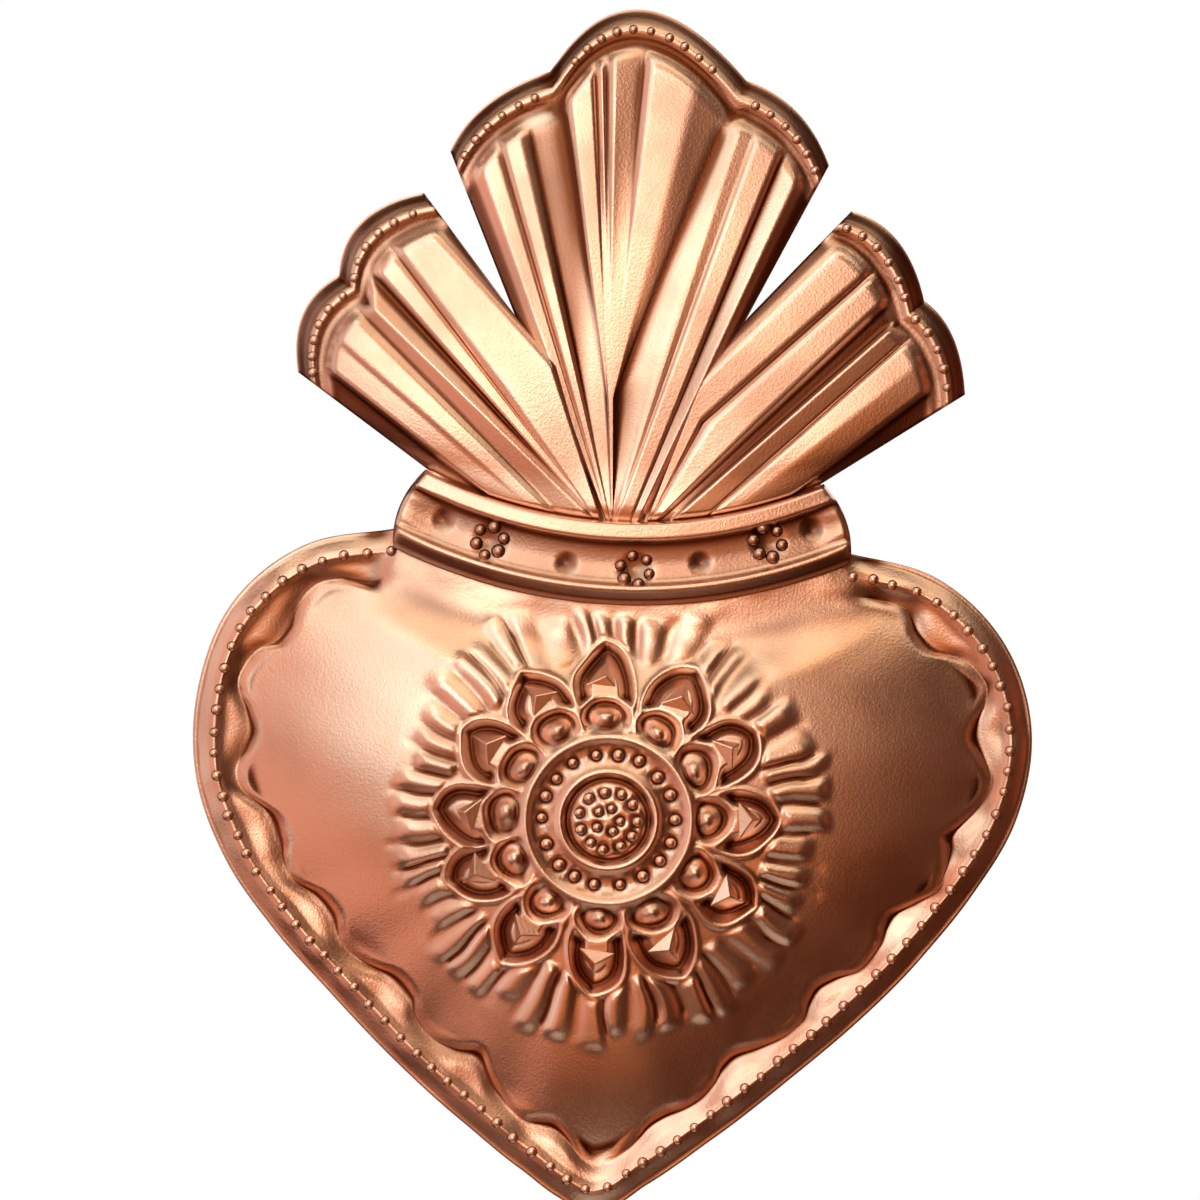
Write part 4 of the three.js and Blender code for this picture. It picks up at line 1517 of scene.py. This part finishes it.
    def keep(self, line: FanLine, share: float) -> float:
        """Give the share of its tone that the metal keeps: painted shade in valleys and on the flange,
        painted light at the foot.

        Args:
            line: The line.
            share: The share of the way from the collar's top edge to the tip, negative under the collar.

        Returns:
            The share, which is more than one at the foot, where it is painted light.
        """
        if share < 0.0:
            return 1.0
        _, left, rise, _ = self.trace(line, share)
        valley = 1.0 - ease((self.pleat_rise(line, rise) - self.valley_rise) / self.valley_run)
        valley *= ease((left - self.panel_end) / self.panel_fade)
        flange = 1.0 - ease((left - self.flange) / self.flange_shade_fade)
        flange *= ease((left - self.flange_shade_inset) / self.flange_shade_inset_fade)
        foot = 1.0 - ease(share / self.foot_light_run)
        tone = mix(1.0, self.valley_painted_shade, valley) * mix(1.0, self.flange_painted_shade, flange)
        return tone * mix(1.0, self.foot_painted_light, foot)

    def build(self, finish: bpy.types.Material) -> None:
        """Build the fan and its beads.

        Args:
            finish: The copper material.
        """
        whole = bmesh.new()
        beads = bmesh.new()
        for leaf in self.leaves:
            self.build_leaf(leaf, whole)
            self.build_beads(leaf, beads)
        bmesh.ops.remove_doubles(whole, verts=whole.verts[:], dist=LEAF_MERGE)
        face_front(whole)
        shade_tone(whole)
        thicken(whole, self.sheet)
        add_piece("fan_relief", whole, finish, Body.ORNAMENT, Slot.SHEET, ("flame_fan",))
        add_piece("fan_beads", beads, finish, Body.ORNAMENT, Slot.SHEET)

    def build_leaf(self, leaf: FanLeaf, whole: bmesh.types.BMesh) -> None:
        """Add one leaf's sheet.

        Args:
            leaf: The leaf.
            whole: The mesh that takes it.
        """
        cells = [pleat.cells for pleat in leaf.pleats[:-1]]
        total = sum(cells)

        def spot(across: float, up: float) -> tuple[FanLine, float]:
            """Find a corner's line.

            Args:
                across: The share across the leaf.
                up: The share of the rows, counted upwards.

            Returns:
                The line and the share of the way up it.
            """
            column, slot = round(across * total), 0
            while slot < len(cells) - 1 and column > cells[slot]:
                column -= cells[slot]
                slot += 1
            row = round(up * self.rows) - self.hidden_rows
            run = row / (self.rows - self.hidden_rows)
            share = 1.0 - (1.0 - run) ** self.row_power if row >= 0 else row / self.hidden_rows
            return self.line(leaf, slot, column / cells[slot]), share

        bm = relief_grid(total, self.rows, lambda across, up: self.surface(*spot(across, up)),
                         lambda across, up: self.keep(*spot(across, up)))
        take_mesh(whole, bm)

    def build_beads(self, leaf: FanLeaf, beads: bmesh.types.BMesh) -> None:
        """Set a leaf's beads along its lobes.

        Args:
            leaf: The leaf.
            beads: The mesh that takes them.
        """
        luck = random.Random(len(leaf.pleats))
        lobes = (len(leaf.tips) - 1) // 2
        for lobe in range(lobes):
            share = lobe / lobes + self.bead_lead
            while share < (lobe + 1) / lobes - self.bead_trail:
                slot = max(k for k in range(len(leaf.pleats) - 1) if leaf.pleats[k].tip <= share)
                first, second = leaf.pleats[slot], leaf.pleats[slot + 1]
                line = self.line(leaf, slot, (share - first.tip) / (second.tip - first.tip))
                depth = self.bead_line / (line.tip - line.knee).length * (1.0 - self.knee_share)
                radius = leaf.bead_radius * luck.uniform(*self.bead_sizes)
                add_bead(beads, self.surface(line, 1.0 - depth), radius, leaf.bead_flatten)
                share += self.bead_pitch * luck.uniform(*self.bead_paces) / self.tip_pace(leaf, share)


LEFT_LEAF = FanLeaf(
    tips=((-39.2, 6.2), (-38.6, 13.5), (-34.1, 18.3), (-31.2, 25.1), (-23.5, 28.6)),
    pleats=(
        Pleat(0.0, -27.3, -0.3, -0.2),
        Pleat(0.085, -19.4, 0.0, 0.1, 3),
        Pleat(0.12, -18.0, 0.95, 0.8),
        Pleat(0.255, -12.8, 0.9, 0.8, 3),
        Pleat(0.275, -12.2, 1.1, 0.8),
        Pleat(0.41, -10.2, 1.0, 0.8),
        Pleat(0.455, -8.9, 0.4, 0.4),
        Pleat(0.50, -4.2, 1.3, 0.8),
        Pleat(0.62, -3.9, -0.1, 0.6, 3),
        Pleat(0.66, -3.75, 0.85, 0.7),
        Pleat(0.76, -3.6, 0.75, 0.75, 3),
        Pleat(0.78, -3.55, 0.45, 0.8, 3),
        Pleat(0.805, -3.5, 1.1, 0.8, 8),
        Pleat(0.925, -3.2, 1.05, 0.9, 6, (-7.0, 6.9)),
        Pleat(1.0, -2.4, -0.35, -0.3, 6, (-12.1, 13.2))),
    bead_flatten=0.6)

CENTRE_LEAF = FanLeaf(
    tips=((-20.2, 33.8), (-15.5, 39.8), (-7.6, 43.8), (3.5, 51.5), (16.8, 42.6), (23.1, 38.7), (27.1, 32.0)),
    pleats=(
        Pleat(0.0, -2.4, -0.4, -0.3, 6, (-12.1, 13.2)),
        Pleat(0.088, -2.25, 0.95, 0.6, 6, (-9.2, 11.6)),
        Pleat(0.15, -2.1, 0.8, 0.6, 3),
        Pleat(0.165, -2.05, 0.45, 0.6, 3),
        Pleat(0.18, -2.0, 0.95, 0.6),
        Pleat(0.229, -1.8, 1.0, 0.6, 3),
        Pleat(0.258, -1.72, 0.4, 0.5, 6),
        Pleat(0.345, -1.58, 0.3, 0.55, 3, (-0.65, 3.0), 0.4),
        Pleat(0.36, -1.56, 1.15, 0.65, 8, (-0.55, 3.0), 0.4),
        Pleat(0.408, -1.53, 0.95, 0.6, 3, (-0.45, 3.0), 0.4),
        Pleat(0.418, -1.51, 0.4, 0.6, 3, (-0.42, 3.0), 0.5),
        Pleat(0.43, -1.5, 1.0, 0.6, 3, (-0.38, 3.0), 0.5),
        Pleat(0.442, -1.49, 0.45, 0.6, 3, (-0.34, 3.0), 0.5),
        Pleat(0.455, -1.48, 1.0, 0.6, 8, (-0.3, 3.0), 0.4),
        Pleat(0.515, -1.45, 0.35, 0.6, 3, (-0.15, 3.0), 0.5),
        Pleat(0.53, -1.44, 1.05, 0.6, 8, (-0.1, 3.0), 0.4),
        Pleat(0.609, -1.42, 1.25, 0.6, 6, (0.1, 3.0), 0.4),
        Pleat(0.66, -1.4, 0.45, 0.3, 4, (0.3, 3.0), 0.3),
        Pleat(0.69, -1.2, 0.95, 0.6),
        Pleat(0.735, -1.0, 0.75, 0.6, 3),
        Pleat(0.75, -0.8, 1.0, 0.7),
        Pleat(0.825, 0.9, 0.95, 0.6, 3),
        Pleat(0.845, 1.1, 0.35, 0.4),
        Pleat(0.92, 1.9, 0.95, 0.6),
        Pleat(1.0, 3.0, -0.4, -0.3, 6, (16.7, 12.7))))

RIGHT_LEAF = FanLeaf(
    tips=((29.9, 26.3), (35.7, 22.6), (39.0, 15.1), (42.6, 10.6), (44.1, 3.4)),
    pleats=(
        Pleat(0.0, 3.0, -0.4, -0.3, 6, (16.7, 12.7)),
        Pleat(0.105, 3.25, 0.95, 0.7, 8, (11.0, 4.6)),
        Pleat(0.26, 3.5, 0.9, 0.7, 3, (11.0, 0.2)),
        Pleat(0.28, 3.6, 0.45, 0.5, 3, (11.4, -0.2)),
        Pleat(0.30, 3.75, 0.95, 0.7, 6, (11.9, -0.5)),
        Pleat(0.386, 4.4, 1.0, 0.8),
        Pleat(0.42, 5.1, 0.15, 0.2, 4),
        Pleat(0.475, 6.3, 0.1, 0.25, 4),
        Pleat(0.50, 6.8, 1.3, 1.0, 8),
        Pleat(0.585, 11.1, 0.85, 0.8, 3),
        Pleat(0.60, 11.6, 0.45, 0.5, 3),
        Pleat(0.62, 12.1, 0.8, 0.7),
        Pleat(0.747, 14.9, 1.05, 0.8, 8),
        Pleat(0.87, 22.7, 0.9, 0.7, 3),
        Pleat(0.90, 23.8, 0.1, 0.1),
        Pleat(1.0, 27.2, -0.2, -0.2)),
    bead_radius=0.66)


@dataclass
class Hanger:
    """The folded strap behind the collar and the wire ring in its eye."""

    eye: tuple[float, float, float]
    strap_width: float = 3.0
    strap_ply: float = 0.5
    strap_leg: float = 9.0
    leg_steps: int = 8
    edge_round: float = 0.08
    edge_segments: int = 2
    eye_radius: float = 1.5
    eye_steps: int = 40
    back_ply_gap: float = 1.0
    wire_radius: float = 0.7
    ring_radius: float = 5.2
    ring_lean: float = math.radians(3.0)
    ring_steps: int = 96
    wire_sides: int = 20

    def build_strap(self, finish: bpy.types.Material) -> None:
        """Build the strap as a strip that runs up, round the eye and down again.

        Args:
            finish: The copper material.
        """
        bm = bmesh.new()
        layer = bm.verts.layers.float.new("tone")
        _, eye_y, eye_z = self.eye
        half = self.strap_width / 2.0
        foot_y, foot_z = eye_y - self.eye_radius, eye_z - self.strap_leg
        ends = [bm.verts.new((side * half, foot_y, foot_z)) for side in (-1, 1)]
        edge = bm.edges.new(ends)
        edge = self.draw_strip(bm, edge, Vector((0.0, 0.0, self.strap_leg)), self.leg_steps)
        sweep = math.tau - math.acos(self.back_ply_gap / self.eye_radius)
        spun = bmesh.ops.spin(bm, geom=[edge, *edge.verts], cent=(0.0, eye_y, eye_z), axis=(-1.0, 0.0, 0.0),
                              angle=sweep, steps=self.eye_steps)
        edge = next(item for item in spun["geom_last"] if isinstance(item, bmesh.types.BMEdge))
        drop = foot_z - edge.verts[0].co.z
        self.draw_strip(bm, edge, Vector((0.0, 0.0, drop)), self.leg_steps)
        bmesh.ops.remove_doubles(bm, verts=bm.verts[:], dist=FINE_MERGE)
        bmesh.ops.recalc_face_normals(bm, faces=bm.faces[:])
        for vert in bm.verts:
            vert[layer] = PLAIN_TONE
        piece = add_piece("strap_strip", bm, finish, Body.ORNAMENT, Slot.SHEET, ("hanger_strap",))
        shell = piece.modifiers.new("thickness", "SOLIDIFY")
        shell.thickness = self.strap_ply * MM
        shell.offset = 0.0
        soften = piece.modifiers.new("edges", "BEVEL")
        soften.width = self.edge_round * MM
        soften.segments = self.edge_segments
        soften.limit_method = "ANGLE"

    def draw_strip(self, bm: bmesh.types.BMesh, edge: bmesh.types.BMEdge, way: Vector,
                   steps: int) -> bmesh.types.BMEdge:
        """Draw a strip out of an edge in even steps.

        Args:
            bm: The mesh.
            edge: The strip's end.
            way: The whole way to go.
            steps: The number of cells.

        Returns:
            The strip's new end.
        """
        for _ in range(steps):
            grown = bmesh.ops.extrude_edge_only(bm, edges=[edge])["geom"]
            corners = [item for item in grown if isinstance(item, bmesh.types.BMVert)]
            bmesh.ops.translate(bm, verts=corners, vec=way / steps)
            edge = next(item for item in grown if isinstance(item, bmesh.types.BMEdge)
                        and all(vert in corners for vert in item.verts))
        return edge

    def build_ring(self, finish: bpy.types.Material) -> None:
        """Build the ring by spinning the wire's section.

        Args:
            finish: The copper material.
        """
        bm = bmesh.new()
        layer = bm.verts.layers.float.new("tone")
        tilt = Matrix.Rotation(self.ring_lean, 4, "X")
        centre = Vector(self.eye) + tilt @ Vector((0.0, 0.0, self.ring_radius))
        bmesh.ops.create_circle(bm, segments=self.wire_sides, radius=self.wire_radius)
        bmesh.ops.translate(bm, verts=bm.verts[:], vec=(self.ring_radius, 0.0, 0.0))
        bmesh.ops.spin(bm, geom=bm.verts[:] + bm.edges[:], cent=(0.0, 0.0, 0.0), axis=(0.0, 1.0, 0.0),
                       angle=math.tau, steps=self.ring_steps, use_merge=True)
        bmesh.ops.remove_doubles(bm, verts=bm.verts[:], dist=FINE_MERGE)
        bmesh.ops.recalc_face_normals(bm, faces=bm.faces[:])
        bmesh.ops.transform(bm, matrix=Matrix.Translation(centre) @ tilt, verts=bm.verts[:])
        for vert in bm.verts:
            vert[layer] = PLAIN_TONE
        add_piece("ring_wire", bm, finish, Body.RING, Slot.WIRE, ("hanging_ring",))


@dataclass(frozen=True)
class SoftBox:
    """A soft box that faces the heart: where it stands, how wide it looks from there, and its light."""

    name: str
    azimuth: float
    elevation: float
    half_width: float
    half_height: float
    glow: float
    colour: Colour

    def hang(self, aim: Vector, distance: float) -> None:
        """Add the light to the scene.

        Args:
            aim: The place that it faces.
            distance: How far off it stands.
        """
        turn, lift = math.radians(self.azimuth), math.radians(self.elevation)
        way = Vector((math.sin(turn) * math.cos(lift), -math.cos(turn) * math.cos(lift), math.sin(lift)))
        data = bpy.data.lights.new(self.name, "AREA")
        data.shape = "RECTANGLE"
        data.size = 2.0 * distance * math.tan(math.radians(self.half_width))
        data.size_y = 2.0 * distance * math.tan(math.radians(self.half_height))
        data.energy = self.glow * math.pi * data.size * data.size_y
        data.color = self.colour
        light = bpy.data.objects.new(self.name, data)
        light.location = aim + way * distance
        light.rotation_euler = (-way).to_track_quat("-Z", "Y").to_euler()
        light.visible_camera = False
        bpy.context.scene.collection.objects.link(light)


@dataclass
class Studio:
    """The camera, the floor and the soft lights."""

    frame_width: float = 0.150
    frame_centre: Point = (-0.0015, -0.02225)
    camera_distance: float = 0.95
    sensor: float = 36.0
    clip_end: float = 20.0
    floor_drop: float = -0.62
    floor_radius: float = 0.30
    floor_sides: int = 64
    light_aim: Sequence[float] = (0.0, 0.0, -0.03)
    light_distance: float = 2.0
    backdrop: Colour = (1.0, 1.0, 1.0)
    backdrop_cone: Point = (0.80, 0.92)
    surround: Colour = (0.06, 0.015, 0.005)
    boxes: Sequence[SoftBox] = (
        SoftBox("window", -20.0, 22.0, 14.0, 30.0, 1.5, (0.74, 0.98, 1.0)),
        SoftBox("front", 2.0, -2.0, 23.0, 22.0, 0.52, (1.0, 0.42, 0.16)),
        SoftBox("mid", -1.0, 13.0, 13.0, 10.0, 2.4, (1.0, 0.88, 0.74)),
        SoftBox("top", 4.0, 62.0, 38.0, 16.0, 1.15, (1.0, 0.97, 0.76)),
        SoftBox("high", 14.0, 43.0, 14.0, 11.0, 1.0, (1.0, 0.52, 0.2)),
        SoftBox("board", -52.0, 2.0, 17.0, 42.0, 0.78, (1.0, 0.53, 0.41)),
        SoftBox("side", -82.0, 8.0, 14.0, 32.0, 0.87, (0.98, 1.0, 0.97)),
        SoftBox("low", -6.0, -28.0, 26.0, 12.0, 0.5, (1.0, 0.34, 0.10)),
        SoftBox("right", 86.0, 0.0, 9.0, 20.0, 0.40, (1.0, 0.25, 0.10)),
        SoftBox("behind", 160.0, 35.0, 28.0, 20.0, 1.4, (1.0, 0.97, 0.92)))

    def build(self) -> None:
        """Set up the camera, the floor, the world and the lights."""
        scene = bpy.context.scene
        scene.view_settings.view_transform = "Standard"
        data = bpy.data.cameras.new("camera")
        data.sensor_width = self.sensor
        data.lens = self.sensor * self.camera_distance / self.frame_width
        data.clip_end = self.clip_end
        camera = bpy.data.objects.new("camera", data)
        camera.location = (self.frame_centre[0], -self.camera_distance, self.frame_centre[1])
        camera.rotation_euler = (math.pi / 2.0, 0.0, 0.0)
        scene.collection.objects.link(camera)
        scene.camera = camera
        self.build_floor()
        self.build_world()
        for box in self.boxes:
            box.hang(Vector(self.light_aim), self.light_distance)

    def build_floor(self) -> None:
        """Lay the pale floor well below the heart."""
        bm = bmesh.new()
        bmesh.ops.create_circle(bm, cap_ends=True, segments=self.floor_sides, radius=self.floor_radius)
        mesh = bpy.data.meshes.new("floor")
        bm.to_mesh(mesh)
        bm.free()
        mesh.materials.append(PaperFinish("pale_paper").material())
        floor = bpy.data.objects.new("floor", mesh)
        floor.location = (0.0, 0.0, self.floor_drop)
        bpy.context.scene.collection.objects.link(floor)

    def build_world(self) -> None:
        """Make the surroundings: white behind the heart, warm and dark elsewhere."""
        world = bpy.data.worlds.new("studio")
        bpy.context.scene.world = world
        world.use_nodes = True
        tree = world.node_tree
        place = tree.nodes.new("ShaderNodeTexCoord")
        ahead = tree.nodes.new("ShaderNodeVectorMath")
        ahead.operation = "DOT_PRODUCT"
        ahead.inputs[1].default_value = (0.0, 1.0, 0.0)
        tree.links.new(place.outputs["Generated"], ahead.inputs[0])
        cone = tree.nodes.new("ShaderNodeMapRange")
        cone.interpolation_type = "SMOOTHSTEP"
        cone.inputs["From Min"].default_value = self.backdrop_cone[0]
        cone.inputs["From Max"].default_value = self.backdrop_cone[1]
        tree.links.new(ahead.outputs["Value"], cone.inputs["Value"])
        blend = tree.nodes.new("ShaderNodeMix")
        blend.data_type = "RGBA"
        blend.inputs[MIX_FIRST].default_value = (*self.surround, 1.0)
        blend.inputs[MIX_SECOND].default_value = (*self.backdrop, 1.0)
        tree.links.new(cone.outputs["Result"], blend.inputs[MIX_SHARE])
        tree.links.new(blend.outputs[MIX_RESULT], tree.nodes["Background"].inputs["Color"])


def dress_solder() -> None:
    """Give the kept solder seams and tacks their finish."""
    finish = SolderFinish("dull_solder").material()
    for name in ("solder_seam_heart", "solder_seam_fan", "solder_tack_left", "solder_tack_right"):
        node = bpy.data.objects[name]
        node.data.materials.clear()
        node.data.materials.append(finish)


def main() -> None:
    """Build the heart piece by piece."""
    logging.basicConfig(level=logging.INFO, format="%(message)s")
    copper = CopperFinish("satin_copper").material()
    wire = CopperFinish("copper_wire", fresh=(0.62, 0.32, 0.18), grain_depth_mm=0.004).material()
    arc = CollarArc()
    HeartSheet(arc).build(Rosette(), copper)
    CollarBand(arc).build(copper)
    FlameFan(arc, leaves=(LEFT_LEAF, CENTRE_LEAF, RIGHT_LEAF)).build(copper)
    hanger = Hanger(eye=(0.0, -2.05, -9.687))
    hanger.build_strap(copper)
    hanger.build_ring(wire)
    dress_solder()
    Studio().build()


if __name__ == "__main__":
    main()
